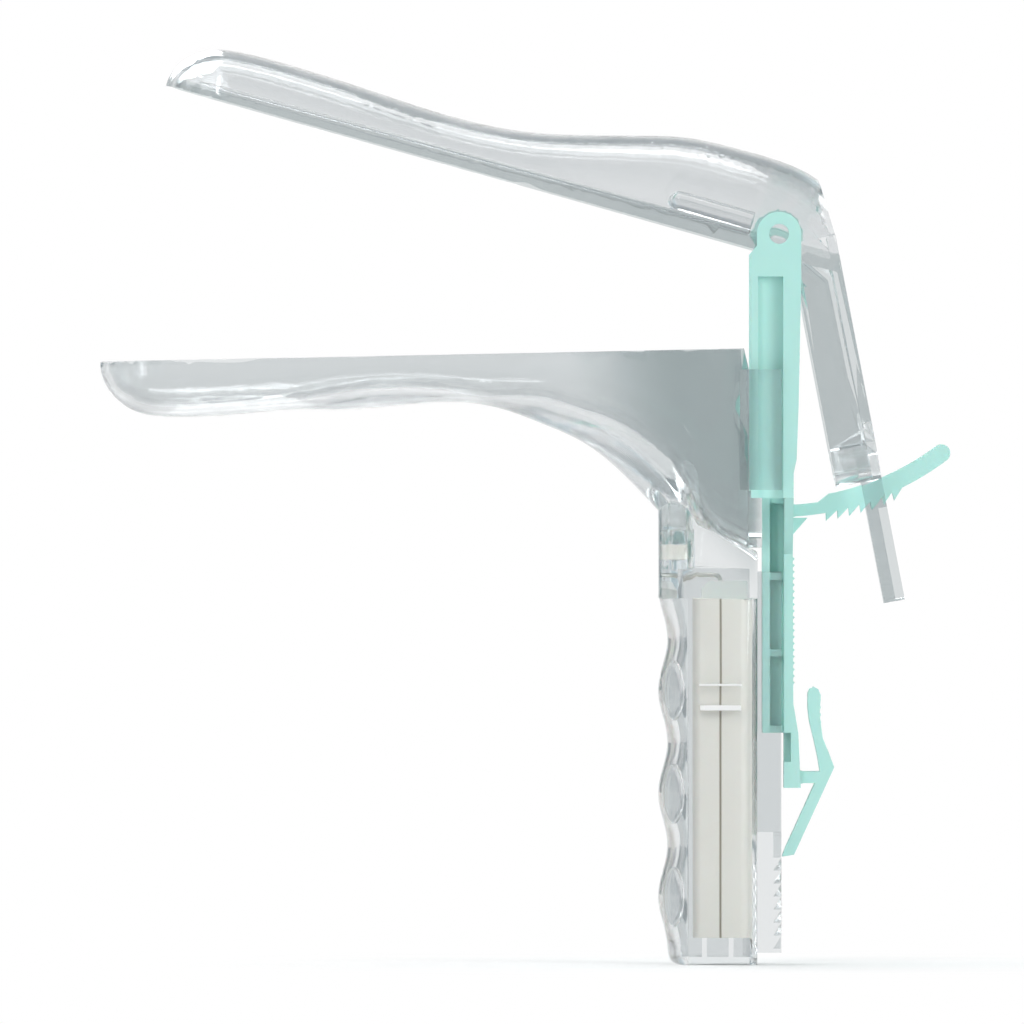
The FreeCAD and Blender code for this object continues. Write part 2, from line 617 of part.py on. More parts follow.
def yoke():
    body = new_body("yoke")
    front = "guide_front + guide_thick + slide_gap + 0.1"
    ear_front = "hinge_back - ear_radius"
    ear_back = "hinge_back + ear_radius"
    upright = [
        (front, "shoulder - upright_end"),
        ("plate_front + plate_thick", "shoulder - upright_end"),
        ("plate_front + plate_thick", "shoulder - 1.4"),
        (ear_back + " - 0.9", "shoulder + 1.4"),
        (ear_back + " - 0.5", "shoulder + 2 * upright_end"),
        (ear_back, "hinge_height - 2 * ear_radius"),
        (ear_back, "hinge_height"),
        (ear_front, "hinge_height"),
        (ear_front, "hinge_height - 2.3"),
        (front, "hinge_height - 3.8"),
    ]
    thick = "yoke_outer - yoke_inner"
    cheeks(body, "Pad", "upright", upright, "yoke_inner", thick)
    ear = rings(body, "ear", "XZ_Plane", [("hinge_back", "hinge_height")], "ear_radius")
    solid_from(body, "Pad", ear, "2 * yoke_outer", True)
    between = [
        (ear_front + " - 1", "shoulder"),
        (ear_back + " + 1", "shoulder"),
        (ear_back + " + 1", "hinge_height + 2 * ear_radius"),
        (ear_front + " - 1", "hinge_height + 2 * ear_radius"),
    ]
    middle(body, "Pocket", "between_ears", between, "yoke_inner")
    hole = rings(body, "hole", "XZ_Plane", [("hinge_back", "hinge_height")], "hole_radius")
    solid_from(body, "Pocket", hole, "2 * yoke_outer + 2", True)
    recess = box_corners(
        f"{front} + upright_flange", "guide_back + slide_gap",
        "shoulder - upright_end - 1", "recess_top",
    )
    cheeks(body, "Pocket", "recess", recess, "yoke_outer - recess_depth", "recess_depth + 1")
    right = [
        ("spine_half", WING_FOOT + " - 2.5"),
        ("1.5 * spine_half", WING_FOOT),
        ("yoke_outer", "shoulder - upright_end"),
        ("yoke_outer", "shoulder + 1.5"),
        ("yoke_inner", "shoulder"),
        ("yoke_inner - bridge_dip", BRIDGE_TOP),
    ]
    left = [("-(" + across + ")", up) for across, up in reversed(right)]
    wings = outline(body, "wings", "YZ_Plane", [right + left], "plate_front")
    solid_from(body, "Pad", wings, "plate_thick")
    flange_back = "lip_front - slide_gap"
    flange = box_corners("spine_front", flange_back, "spine_foot", BRIDGE_TOP)
    middle(body, "Pad", "spine_flange", flange, "spine_half")
    inside = flange_back + " - 0.5"
    web = box_corners(inside, "plate_front + 0.5", "spine_foot", BRIDGE_TOP)
    middle(body, "Pad", "spine_web", web, "web_half")
    back = [
        ("plate_front", "yoke_foot"),
        ("plate_front + foot_thick", "yoke_foot"),
        ("plate_front + 0.85 * foot_thick", "spine_foot"),
        ("plate_front + plate_thick + 0.1", "spine_foot + foot_slot"),
        ("plate_front + plate_thick", WING_FOOT),
        ("plate_front + plate_thick", BRIDGE_TOP),
        ("plate_front", BRIDGE_TOP),
    ]
    middle(body, "Pad", "spine_back", back, "spine_half")
    spacing = f"({BRIDGE_TOP} - spine_foot - rib_thick) / {SPINE_RIBS - 1}"
    for number in range(SPINE_RIBS):
        foot = f"spine_foot + {number} * {spacing}"
        rib = box_corners(inside, "plate_front + 0.5", foot, foot + " + rib_thick")
        middle(body, "Pad", f"rib{number}", rib, "lip_inner - slide_gap")
    slot = box_corners(
        "plate_front - 1", "plate_front + slot_deep", "spine_foot - foot_slot", "spine_foot",
    )
    cheeks(body, "Pocket", "foot_slot", slot, "0.5 * spine_half", "spine_half")
    under = "hinge_height - rod_radius - rod_thick / 2 - swing_gap"
    gusset = [
        ("plate_front + 0.5 * plate_thick", under),
        ("plate_front + plate_thick + gusset_deep", under),
        ("plate_front + plate_thick", f"{under} - 1.15 * gusset_deep"),
        ("plate_front + 0.5 * plate_thick", f"{under} - 1.15 * gusset_deep"),
    ]
    middle(body, "Pad", "gusset", gusset, "0.5 * arm_half")
    tooth = [
        ("plate_front + 0.5 * plate_thick", "serration_foot"),
        ("plate_front + plate_thick + 0.1", "serration_foot"),
        ("plate_front + plate_thick + 0.4", "serration_foot + 0.25 * serration_pitch"),
        ("plate_front + plate_thick + 0.1", "serration_foot + 0.5 * serration_pitch"),
        ("plate_front + 0.5 * plate_thick", "serration_foot + 0.5 * serration_pitch"),
    ]
    ridge = middle(body, "Pad", "ridge", tooth, "0.8 * spine_half")
    serration = body.newObject("PartDesign::LinearPattern", "serration")
    serration.Originals = [ridge]
    axis = next(f for f in body.Origin.OriginFeatures if f.Role == "Z_Axis")
    serration.Direction = (axis, [""])
    serration.Occurrences = RIDGES
    serration.setExpression("Length", bind(f"{RIDGES - 1} * serration_pitch"))
    body.Tip = serration
    doc.recompute()
    groove = rings(body, "arm_groove", "XZ_Plane", [ARM_ROOT], "root_radius + pin_gap")
    solid_from(body, "Pocket", groove, "2 * (arm_half + swing_gap)", True)
    seat = rings(body, "latch_groove", "XZ_Plane", [("latch_back", "latch_height")],
                 "latch_root + pin_gap")
    solid_from(body, "Pocket", seat, "2 * (latch_half + swing_gap)", True)
    return body


# Toothed arm: concentric with the hinge, so that it follows the lever's slot


def polar(radius, degrees):
    """A point that far from the hinge axis and turned that far from straight below it."""
    turn = math.radians(degrees)
    x = size("hinge_back") + radius * math.sin(turn)
    return Vector(x, 0, size("hinge_height") - radius * math.cos(turn))


def line(a, b):
    return Part.LineSegment(a, b).toShape()


def arc(radius, start, end):
    points = [polar(radius, turn) for turn in (start, 0.5 * (start + end), end)]
    return Part.Arc(*points).toShape()


def ratchet_arm():
    inner, outer, crest = size("arm_inner"), size("arm_outer"), size("arm_crest")
    rod_top = size("rod_radius") - size("rod_thick") / 2
    rod_foot = size("rod_radius") + size("rod_thick") / 2
    root = size("root_angle")
    first = size("tooth_angle")
    tip_radius = (outer - inner) / 2
    tip_middle = (outer + inner) / 2
    tip = size("arm_tip_angle") - math.degrees(tip_radius / tip_middle)
    step = size("tooth_step")
    edges = [arc(rod_top, root, first - 1), line(polar(rod_top, first - 1), polar(inner, first + 1.5))]
    edges.append(arc(inner, first + 1.5, tip))
    end = polar(tip_middle, size("arm_tip_angle"))
    edges.append(Part.Arc(polar(inner, tip), end, polar(outer, tip)).toShape())
    valley = first + (ARM_TEETH - 1 + 1.1) * step
    edges.append(arc(outer, tip, valley))
    for k in range(ARM_TEETH - 1, -1, -1):
        at = first + k * step
        edges.append(line(polar(outer, at + 1.1 * step), polar(crest, at)))
        edges.append(line(polar(crest, at), polar(outer, at + 0.1 * step)))
    first_root = first + 0.1 * step
    edges.append(line(polar(outer, first_root), polar(rod_foot, first)))
    edges.append(arc(rod_foot, first, root))
    edges.append(line(polar(rod_foot, root), polar(rod_top, root)))
    band = Part.Face(Part.Wire(edges)).extrude(Vector(0, 2 * size("arm_half"), 0))
    knuckle = Part.makeCylinder(size("root_radius"), 2 * size("arm_half"),
                                polar(size("rod_radius"), root), Y_AXIS)
    shape = band.fuse(knuckle).removeSplitter()
    shape.translate(Vector(0, -size("arm_half"), 0))
    return direct("ratchet_arm", shape)


# Latch: a thumb pad and a pawl on the yoke's foot, in a frame at its own axis


def latch():
    body = new_body("latch", ("latch_back", "latch_height"))
    inner = "elbow_reach - 0.4 - pad_thick"
    tip = "rail_back + swing_gap - latch_back"
    ledge = "rack_ledge - latch_height + swing_gap"
    web = "0.9 * latch_root"
    profile = [
        (tip, ledge),
        (tip + " + 2.4", ledge + " + 0.35"),
        ("elbow_reach", "elbow_rise"),
        ("elbow_reach - 1.0", "elbow_rise + 2.7"),
        ("elbow_reach - 2.3", "elbow_rise + 5.8"),
        ("elbow_reach - 2.9", "elbow_rise + 10.5"),
        ("elbow_reach - 2.7", "pad_rise - 1.7"),
        ("elbow_reach - 3.2", "pad_rise - 0.5"),
        ("elbow_reach - 4.1", "pad_rise"),
        ("elbow_reach - 4.9", "pad_rise - 0.4"),
        ("elbow_reach - 2.8 - pad_thick", "pad_rise - 1.3"),
        ("elbow_reach - 2.8 - pad_thick", "pad_rise - 4.2"),
        ("elbow_reach - 2.5 - pad_thick", "pad_rise - 6.9"),
        ("elbow_reach - 1.6 - pad_thick", "elbow_rise + 5.5"),
        ("elbow_reach - 0.8 - pad_thick", "elbow_rise + 1.8"),
        (inner, web),
        ("0", web),
        ("0", "-(" + web + ")"),
        (inner + " - 1", "-(" + web + ")"),
        (tip + " + 0.28 * rack_pitch", ledge + " + 0.74 * rack_pitch"),
    ]
    middle(body, "Pad", "profile", profile, "latch_half")
    root = rings(body, "root", "XZ_Plane", [("0", "0")], "latch_root")
    solid_from(body, "Pad", root, "2 * latch_half", True)
    ridges = [
        (f"elbow_reach - 3.2 + {0.011 * k * k - 0.01 * k:.3f}", f"pad_rise - 2.6 - {1.5 * k}")
        for k in range(PAD_RIDGES)
    ]
    grip = rings(body, "pad_ridges", "XZ_Plane", ridges, "ridge_radius")
    solid_from(body, "Pad", grip, "2 * latch_half", True)
    return body


# Upper valve: clear blade, hood, stub pins and thumb lever, in a frame at the hinge

# shares of the way back from the waist, of the widening, and of the hood's rise
HOOD_SHARES = [
    (0.20, 0.04, 0.17),
    (0.36, 0.19, 0.48),
    (0.48, 0.35, 0.73),
    (0.58, 0.52, 0.92),
    (0.75, 0.81, 1.00),
    (0.91, 0.97, 0.95),
    (1.00, 1.00, 0.77),
    (1.12, 1.00, 0.45),
]


def upper_rim(x):
    return -size("upper_rim") - size("upper_rim_rise") * x / size("upper_reach")


def upper_stations(inset):
    bowl = size("tip_length") - size("upper_reach")
    waist = -size("upper_waist_place")
    half = size("upper_waist_half") - inset
    crown_height = size("upper_waist_crown") - inset
    bowl_half = size("upper_bowl_half") - inset
    bowl_crown = size("upper_bowl_crown") - inset
    places = [
        (bowl, bowl_half, bowl_crown),
        (bowl + 0.24 * (waist - bowl), bowl_half, bowl_crown),
        (0.5 * (bowl + waist), 0.5 * (bowl_half + half) + 0.1, 0.5 * (bowl_crown + crown_height) + 0.2),
        (waist, half, crown_height),
    ]
    back = size("hood_top_back")
    for run, widening, rise in HOOD_SHARES:
        wide = half + widening * (size("hood_half") - size("upper_waist_half"))
        places.append((waist + run * (back - waist), wide, crown_height + rise * size("hood_rise")))
    return [(x, wide, top - upper_rim(x)) for x, wide, top in places]


def hood_shell():
    """Blade and hood, cut off behind by the plane that the lever hangs from."""
    bowl = size("tip_length") - size("upper_reach")
    skins = []
    for inset, lift in ((0, -0.01), (size("wall"), -OVERSHOOT)):
        end_length = size("tip_length") - inset
        skins.append(trough(bowl, end_length, upper_stations(inset), upper_rim, lift))
    top = (size("hood_top_back"), skins[0].BoundBox.ZMax + 1)
    rise = size("hood_rise") + size("upper_waist_crown") - 1.9
    run = size("lever_root_back") - size("hood_top_back")
    slope = run / (rise - size("lever_root_height"))
    foot = -size("upper_rim") - OVERSHOOT
    lean = math.tan(math.radians(size("lever_angle")))
    far = size("lever_root_back") + size("hood_half")
    behind = side_prism(
        [
            (top[0] - slope * (top[1] - rise), top[1]),
            (size("lever_root_back"), size("lever_root_height")),
            (size("lever_root_back") + lean * (size("lever_root_height") - foot), foot),
            (far, foot),
            (far, top[1]),
        ],
        2 * size("hood_half"),
    )
    return skins[0].cut(skins[1]).cut(behind)


def lever():
    """The lever in its own frame: its back face is x = 0 and z runs up it."""
    body = new_body("lever", ("lever_root_back", "lever_root_height"), "-lever_angle")
    half_right = [
        ("hood_half", "0.5 * flange_thick"),
        ("hood_half", "-lever_window_end"),
        ("tongue_half + 4", "-tongue_start + 2"),
        ("tongue_half", "-tongue_start"),
        ("tongue_half", "-lever_length + 2"),
        ("tongue_half - 2", "-lever_length"),
    ]
    half_left = [("-(" + across + ")", up) for across, up in reversed(half_right)]
    window = [
        ("lever_window_half", "4"),
        ("lever_window_half", "-lever_window_end + 4"),
        ("lever_window_half - 4", "-lever_window_end"),
        ("4 - lever_window_half", "-lever_window_end"),
        ("-lever_window_half", "-lever_window_end + 4"),
        ("-lever_window_half", "4"),
    ]
    plate = outline(body, "plate", "YZ_Plane", [half_right + half_left], "-lever_plate")
    solid_from(body, "Pad", plate, "lever_plate")
    opening = outline(body, "window", "YZ_Plane", [window], "-lever_plate - 1")
    solid_from(body, "Pocket", opening, "lever_plate + 2")
    side = [
        ("0", "0.5 * flange_thick"),
        ("0", "-lever_window_end"),
        ("-flange_depth", "-lever_window_end"),
        ("-flange_depth", "0.5 * flange_thick"),
    ]
    cheeks(body, "Pad", "leg_flange", side, "hood_half - flange_thick", "flange_thick")
    sunk = box_corners("1 - flange_depth", "-0.42 * flange_depth", "3 - lever_window_end",
                       "-0.2 * lever_window_end")
    cheeks(body, "Pocket", "leg_panel", sunk, "hood_half - panel_deep", "panel_deep + 1")
    shoulder = [
        ("tongue_half", "-tongue_start"),
        ("tongue_half + 4", "2 - tongue_start"),
        ("hood_half", "-lever_window_end"),
        ("hood_half - flange_thick", "-lever_window_end"),
        ("tongue_half + 3.4", "3.6 - tongue_start"),
        ("tongue_half - 0.3", "1.8 - tongue_start"),
    ]
    mirrored = [("-(" + across + ")", up) for across, up in reversed(shoulder)]
    edge = outline(body, "shoulders", "YZ_Plane", [shoulder, mirrored], "-flange_depth")
    solid_from(body, "Pad", edge, "flange_depth")
    rib = [
        ("0", "1.8 - tongue_start"),
        ("0", "-lever_length"),
        ("-tongue_depth", "-lever_length"),
        ("-tongue_depth", "-tongue_start"),
        ("-flange_depth", "1.8 - tongue_start"),
    ]
    cheeks(body, "Pad", "tongue_flange", rib, "tongue_half - flange_thick", "flange_thick")
    sill = box_corners("-0.7 * flange_depth", "0", "-lever_window_end - flange_thick",
                       "-lever_window_end")
    middle(body, "Pad", "sill", sill, "lever_window_half - 4")
    slot = box_corners("-slot_half", "slot_half", "-slot_end", "-slot_start")
    cut = outline(body, "slot", "YZ_Plane", [slot], "-flange_depth")
    solid_from(body, "Pocket", cut, "flange_depth + 1")
    return body


def stub(label, side):
    """A stub pin and its boss on one side of the hood."""
    pin = Part.makeCylinder(size("hole_radius") - size("pin_gap"),
                            size("yoke_outer") - size("slide_gap") - size("hood_half") + 1,
                            Vector(0, size("hood_half") - 1, 0), Y_AXIS)
    boss = Part.makeCylinder(size("boss_radius"), size("yoke_inner") - 0.1 - size("hood_half") + 1.5,
                             Vector(0, size("hood_half") - 1.5, 0), Y_AXIS)
    shape = pin.fuse(boss)
    return direct(label, shape if side > 0 else shape.mirror(Vector(0, 0, 0), Y_AXIS))


def upper_valve():
    pieces = [direct("hood_shell", hood_shell()), lever(), stub("stub_right", 1), stub("stub_left", -1)]
    made = combined("MultiFuse", "upper_valve", Shapes=pieces)
    made.Placement.Rotation = Rotation(Y_AXIS, 1)
    for name, formula in (
        ("Placement.Base.x", "hinge_back"),
        ("Placement.Base.z", "hinge_height"),
        ("Placement.Rotation.Angle", "open_angle"),
    ):
        made.setExpression(name, bind(formula))
    return made


# Light unit: a battery case in the handle and a lamp under a lens in the throat's floor

CASE_MIDDLE = "(case_back - case_front) / 2"
CELL_PLACE = "(cell_radius + 2 * seat_gap)"
CELL_FOOT = "(case_foot + case_wall + leaf_thick)"
NUB_RISE = "3 * leaf_thick"
CELL_TOP = f"({CELL_FOOT} + cell_length + {NUB_RISE})"
BOARD_FOOT = f"({CELL_TOP} + leaf_thick)"
BOARD_TOP = "(case_top - 4 * case_wall)"
CAP_FRONT = "-0.7 * case_front"
CAP_BACK = "case_back"
BRIDGE_HALF = "0.6 * cell_radius"
FLANGE_RISE = 0.9
HOLDER_RISE = 3.0


def case_half(label, near, far):
    """One half of the battery case, between two x formulas."""
    body = new_body(label)
    plan = [(near, "-case_half"), (far, "-case_half"), (far, "case_half"), (near, "case_half")]
    box = outline(body, "box", "XY_Plane", [plan], "case_foot")
    solid_from(body, "Pad", box, "case_top - case_foot")
    middle_x = (size("case_back") - size("case_front")) / 2
    outer = size("case_half") - 0.1
    round_edges(body, "case_round", lambda at, along: (
        abs(at.y) > outer and abs(at.x - middle_x) > 1 and abs(along.z) > 0.9))
    places = [(CASE_MIDDLE, CELL_PLACE), (CASE_MIDDLE, f"-{CELL_PLACE}")]
    bores = rings(body, "bores", "XY_Plane", places[:1], "cell_radius + seat_gap",
                  "case_foot + case_wall")
    solid_from(body, "Pocket", bores, f"{BOARD_FOOT} - case_foot - case_wall")
    bores = rings(body, "other_bores", "XY_Plane", places[1:], "cell_radius + seat_gap",
                  "case_foot + case_wall")
    solid_from(body, "Pocket", bores, f"{BOARD_FOOT} - case_foot - case_wall")
    bridge = box_corners(f"{CASE_MIDDLE} - {BRIDGE_HALF} - seat_gap",
                         f"{CASE_MIDDLE} + {BRIDGE_HALF} + seat_gap",
                         "case_foot + case_wall", CELL_FOOT)
    middle(body, "Pocket", "bridge_room", bridge, "1.5 * cell_radius + seat_gap")
    room = box_corners(f"{CASE_MIDDLE} - 3 * board_thick", f"{CASE_MIDDLE} + 3 * board_thick",
                       f"{BOARD_FOOT} - leaf_thick", f"{BOARD_TOP} + case_wall")
    middle(body, "Pocket", "board_room", room, "case_half - 2 * case_wall")
    leads = rings(body, "lead_holes", "XY_Plane",
                  [(CASE_MIDDLE, "lead_half"), (CASE_MIDDLE, "-lead_half")],
                  "lead_radius + seat_gap", f"{BOARD_TOP} - 1")
    solid_from(body, "Pocket", leads, f"case_top - {BOARD_TOP} + 2")
    return body


def battery_cell(label, side):
    place = side + CELL_PLACE
    can = post(label + "_can", "cell_radius", CELL_FOOT, "cell_length", CASE_MIDDLE, place)
    nub = post(label + "_nub", "0.3 * cell_radius", f"{CELL_FOOT} + cell_length", NUB_RISE,
               CASE_MIDDLE, place)
    return combined("MultiFuse", label, Shapes=[can, nub])


def block(label, x0, x1, y0, y1, z0, z1):
    """A box between formulas."""
    made = doc.addObject("Part::Box", label)
    made.Label = label
    for name, formula in (
        ("Length", f"{x1} - ({x0})"),
        ("Width", f"{y1} - ({y0})"),
        ("Height", f"{z1} - ({z0})"),
        ("Placement.Base.x", x0),
        ("Placement.Base.y", y0),
        ("Placement.Base.z", z0),
    ):
        made.setExpression(name, bind(formula))
    return made


def contact_bridge():
    """The leaf that joins the two cells at the bottom."""
    return block("contact_bridge", f"{CASE_MIDDLE} - {BRIDGE_HALF}", f"{CASE_MIDDLE} + {BRIDGE_HALF}",
                 "-1.5 * cell_radius", "1.5 * cell_radius",
                 f"{CELL_FOOT} - leaf_thick", CELL_FOOT)


def contact_leaf(label, side):
    """The leaf over one cell's nub."""
    near, far = f"{CELL_PLACE} - 2", f"{CELL_PLACE} + 2"
    if side == "-":
        near, far = f"-({CELL_PLACE} + 2)", f"-({CELL_PLACE} - 2)"
    return block(label, f"{CASE_MIDDLE} - 1.6", f"{CASE_MIDDLE} + 1.6", near, far,
                 CELL_TOP, BOARD_FOOT)


def circuit_board():
    return block("circuit_board", f"{CASE_MIDDLE} - board_thick / 2",
                 f"{CASE_MIDDLE} + board_thick / 2", "-case_half + 3 * case_wall",
                 "case_half - 3 * case_wall", BOARD_FOOT, BOARD_TOP)


def resistor():
    made = post("resistor", "board_thick", f"({BOARD_FOOT} + {BOARD_TOP}) / 2",
                "4 * board_thick", f"{CASE_MIDDLE} + 1.5 * board_thick", "2 * board_thick")
    made.Placement.Rotation = Rotation(Vector(1, 0, 0), 90)
    return made


def lead_cap():
    """The block on the battery case that holds the lamp's leads."""
    body = new_body("lead_cap")
    top = "case_top + cap_height"
    side = [
        (CAP_FRONT, "case_top"),
        (CAP_BACK, "case_top"),
        (CAP_BACK, top),
        (CAP_FRONT + " + 1.5", top),
        (CAP_FRONT, top + " - 1.5"),
    ]
    middle(body, "Pad", "side", side, "0.6 * case_half")
    holes = rings(body, "holes", "XY_Plane",
                  [(CASE_MIDDLE, "lead_half"), (CASE_MIDDLE, "-lead_half")],
                  "lead_radius + seat_gap", "case_top - 1")
    solid_from(body, "Pocket", holes, "cap_height + 2")
    return body


def lamp():
    flange = post("lamp_flange", "1.2 * lamp_radius", "lamp_foot", str(FLANGE_RISE), "-lamp_front")
    stem = post("lamp_stem", "lamp_radius", "lamp_foot", "2.2 * lamp_radius", "-lamp_front")
    dome = doc.addObject("Part::Sphere", "lamp_dome")
    dome.setExpression("Radius", bind("lamp_radius"))
    dome.setExpression("Placement.Base.x", bind("-lamp_front"))
    dome.setExpression("Placement.Base.z", bind("lamp_foot + 2.2 * lamp_radius"))
    return combined("MultiFuse", "lamp", Shapes=[flange, stem, dome])


def lamp_holder():
    foot = f"lamp_foot + {FLANGE_RISE}"
    ring = post("holder_ring", "lens_radius + slide_gap - seat_gap", foot, str(HOLDER_RISE),
                "-lamp_front")
    hole = post("holder_hole", "lamp_radius + seat_gap", foot + " - 1", str(HOLDER_RISE + 2),
                "-lamp_front")
    return combined("Cut", "lamp_holder", Base=ring, Tool=hole)


def lens():
    stem = post("lens_stem", "lens_radius", LENS_FOOT, "lens_length - lens_radius", "-lamp_front")
    dome = doc.addObject("Part::Sphere", "lens_dome")
    dome.setExpression("Radius", bind("lens_radius"))
    dome.setExpression("Placement.Base.x", bind("-lamp_front"))
    dome.setExpression("Placement.Base.z", bind(f"{LENS_FOOT} + lens_length - lens_radius"))
    return combined("MultiFuse", "lens", Shapes=[stem, dome])


def lamp_lead(label, side):
    """A stiff lead from the board, up through the cap and forward to the lamp."""
    back = (size("case_back") - size("case_front")) / 2
    start = size("case_top") - 4 * size("case_wall")
    level = size("case_top") + size("cap_height") + 1.2
    y = side * size("lead_half")
    bend = 1.2
    corner = math.sqrt(0.5) * bend
    up = line(Vector(back, y, start), Vector(back, y, level - bend))
    over = Part.Arc(Vector(back, y, level - bend),
                    Vector(back - bend + corner, y, level - bend + corner),
                    Vector(back - bend, y, level)).toShape()
    front = -size("lamp_front")
    along = line(Vector(back - bend, y, level), Vector(front + bend, y, level))
    rise = Part.Arc(Vector(front + bend, y, level),
                    Vector(front + bend - corner, y, level + bend - corner),
                    Vector(front, y, level + bend)).toShape()
    end = line(Vector(front, y, level + bend), Vector(front, y, size("lamp_foot")))
    path = Part.Wire([up, over, along, rise, end])
    ring = Part.Wire([Part.makeCircle(size("lead_radius"), Vector(back, y, start))])
    return direct(label, path.makePipeShell([ring], True, False))


# Checks and files

nodes = [
    lower_valve(),
    grip_cover(),
    yoke(),
    ratchet_arm(),
    latch(),
    upper_valve(),
    case_half("battery_case_front", "-case_front", CASE_MIDDLE),
    case_half("battery_case_rear", CASE_MIDDLE, "case_back"),
    battery_cell("battery_cell_left", "-"),
    battery_cell("battery_cell_right", ""),
    contact_bridge(),
    contact_leaf("contact_leaf_left", "-"),
    contact_leaf("contact_leaf_right", ""),
    circuit_board(),
    resistor(),
    lead_cap(),
    lamp(),
    lamp_holder(),
    lens(),
    lamp_lead("lamp_lead_left", -1),
    lamp_lead("lamp_lead_right", 1),
]
doc.recompute()
for made in doc.Objects:
    if {"Invalid", "Error"} & set(made.State):
        raise ValueError(f"{made.Label} failed: {made.getStatusString()}")
for node in nodes:
    if node.Shape.isNull() or not node.Shape.isValid() or len(node.Shape.Solids) != 1:
        raise ValueError(f"{node.Label} is not one valid solid")
os.makedirs("parts", exist_ok=True)
for node in nodes:
    node.Shape.exportStep(f"parts/{node.Label}.step")
    print(f"{node.Label}: {node.Shape.Volume:.0f} mm3")
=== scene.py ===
import json
import math

import bmesh
import bpy
from mathutils import Matrix, Vector
from mathutils.bvhtree import BVHTree


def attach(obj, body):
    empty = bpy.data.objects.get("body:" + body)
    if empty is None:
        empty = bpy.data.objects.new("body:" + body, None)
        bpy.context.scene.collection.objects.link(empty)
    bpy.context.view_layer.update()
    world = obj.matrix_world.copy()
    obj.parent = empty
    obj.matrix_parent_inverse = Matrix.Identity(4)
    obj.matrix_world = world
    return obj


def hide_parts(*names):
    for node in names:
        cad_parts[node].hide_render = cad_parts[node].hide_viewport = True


# Clear two-bladed speculum with a mint green yoke and a lamp unit in its handle.
# Metres. +Z is up the handle, the blades point towards -X and Y runs across.

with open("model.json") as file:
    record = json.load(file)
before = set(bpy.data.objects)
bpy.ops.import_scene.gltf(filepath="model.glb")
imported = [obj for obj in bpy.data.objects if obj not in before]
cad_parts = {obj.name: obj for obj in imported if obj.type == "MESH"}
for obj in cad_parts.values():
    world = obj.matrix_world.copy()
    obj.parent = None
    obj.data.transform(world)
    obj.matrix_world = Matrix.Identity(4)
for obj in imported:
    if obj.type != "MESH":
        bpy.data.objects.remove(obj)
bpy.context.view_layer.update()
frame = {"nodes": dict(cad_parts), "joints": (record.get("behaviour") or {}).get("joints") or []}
nodes = frame["nodes"]
print("frame loaded:", len(nodes), "nodes")

millimetre = 0.001


# colour helper: sRGB hex to linear

def linear(hexText):
    values = []
    for start in (1, 3, 5):
        part = int(hexText[start:start + 2], 16) / 255
        values.append(part / 12.92 if part <= 0.04045 else ((part + 0.055) / 1.055) ** 2.4)
    return (*values, 1.0)


# adds one shader node with its settings and links

def addNode(tree, kind, settings=None, links=None):
    node = tree.nodes.new(kind)
    for name, value in (settings or {}).items():
        if isinstance(name, int) or name in node.inputs:
            node.inputs[name].default_value = value
        else:
            setattr(node, name, value)
    for name, source in (links or {}).items():
        tree.links.new(source, node.inputs[name])
    return node


def newMaterial(name):
    material = bpy.data.materials.new(name)
    material.use_nodes = True
    material.node_tree.nodes.clear()
    return material, material.node_tree


def finishMaterial(tree, shader):
    output = addNode(tree, "ShaderNodeOutputMaterial")
    tree.links.new(shader, output.inputs["Surface"])


# clear polystyrene, injection moulded: glass-like, a faint cool grey where a wall is seen square
# on, with painted shade that darkens it at its edges, and slow waves left by the flow of the melt

clearMoulding = {
    "face": "#E6E9EA",
    # painted shade: the tone a wall's edges darken to, for the light a real edge loses
    "edge": "#737D81",
    "edgeStart": 0.45,             # how far a wall turns away before its painted edge shade begins
    "alpha": 0.94,                 # the rest passes straight, as through a thin flat wall
    "depth": 4.5,                  # a ray caught in the walls goes straight on past this count
    "roughness": 0.03,
    "ior": 1.5,
    "flowSize": 16 * millimetre,
    "flowDepth": 0.05 * millimetre,
    "flowStrength": 0.35,
    "shadowPass": 0.97,            # share of the light that each surface lets through
    # a greyer tone where the walls are heavier, partly their own tint and partly painted shade for
    # the light
    # that thick clear walls bend away: along each direction it grows between two places
    "heavyTintAndShade": "#E6E9EA",
    "heavyTintAndShadeWhere": [],
}
bladeAngle = math.radians(14.9)
lowerWall = dict(clearMoulding, face="#E2E5E6", heavyTintAndShade="#C0C8C9", heavyTintAndShadeWhere=[
    # the throat: it begins behind the blade, ends at the yoke and keeps above the crown
    ((1, 0, 0), -32 * millimetre, -8 * millimetre),
    ((1, 0, 0), 8.4 * millimetre, 5.8 * millimetre),
    ((0.9, 0, 1), 79 * millimetre, 91 * millimetre),
])
upperWall = dict(clearMoulding, face="#E9EBEC", heavyTintAndShade="#D2D7D8", heavyTintAndShadeWhere=[
    # the thick band along the blade's rim
    ((math.sin(bladeAngle), 0, math.cos(bladeAngle)), 143.25 * millimetre, 142.9 * millimetre),
])
# the lens has a lighter painted shade at its edges
lensMoulding = dict(clearMoulding, face="#F6F8F9", edge="#A5AFB3", heavyTintAndShade="#F6F8F9",
                    flowDepth=0.01 * millimetre)


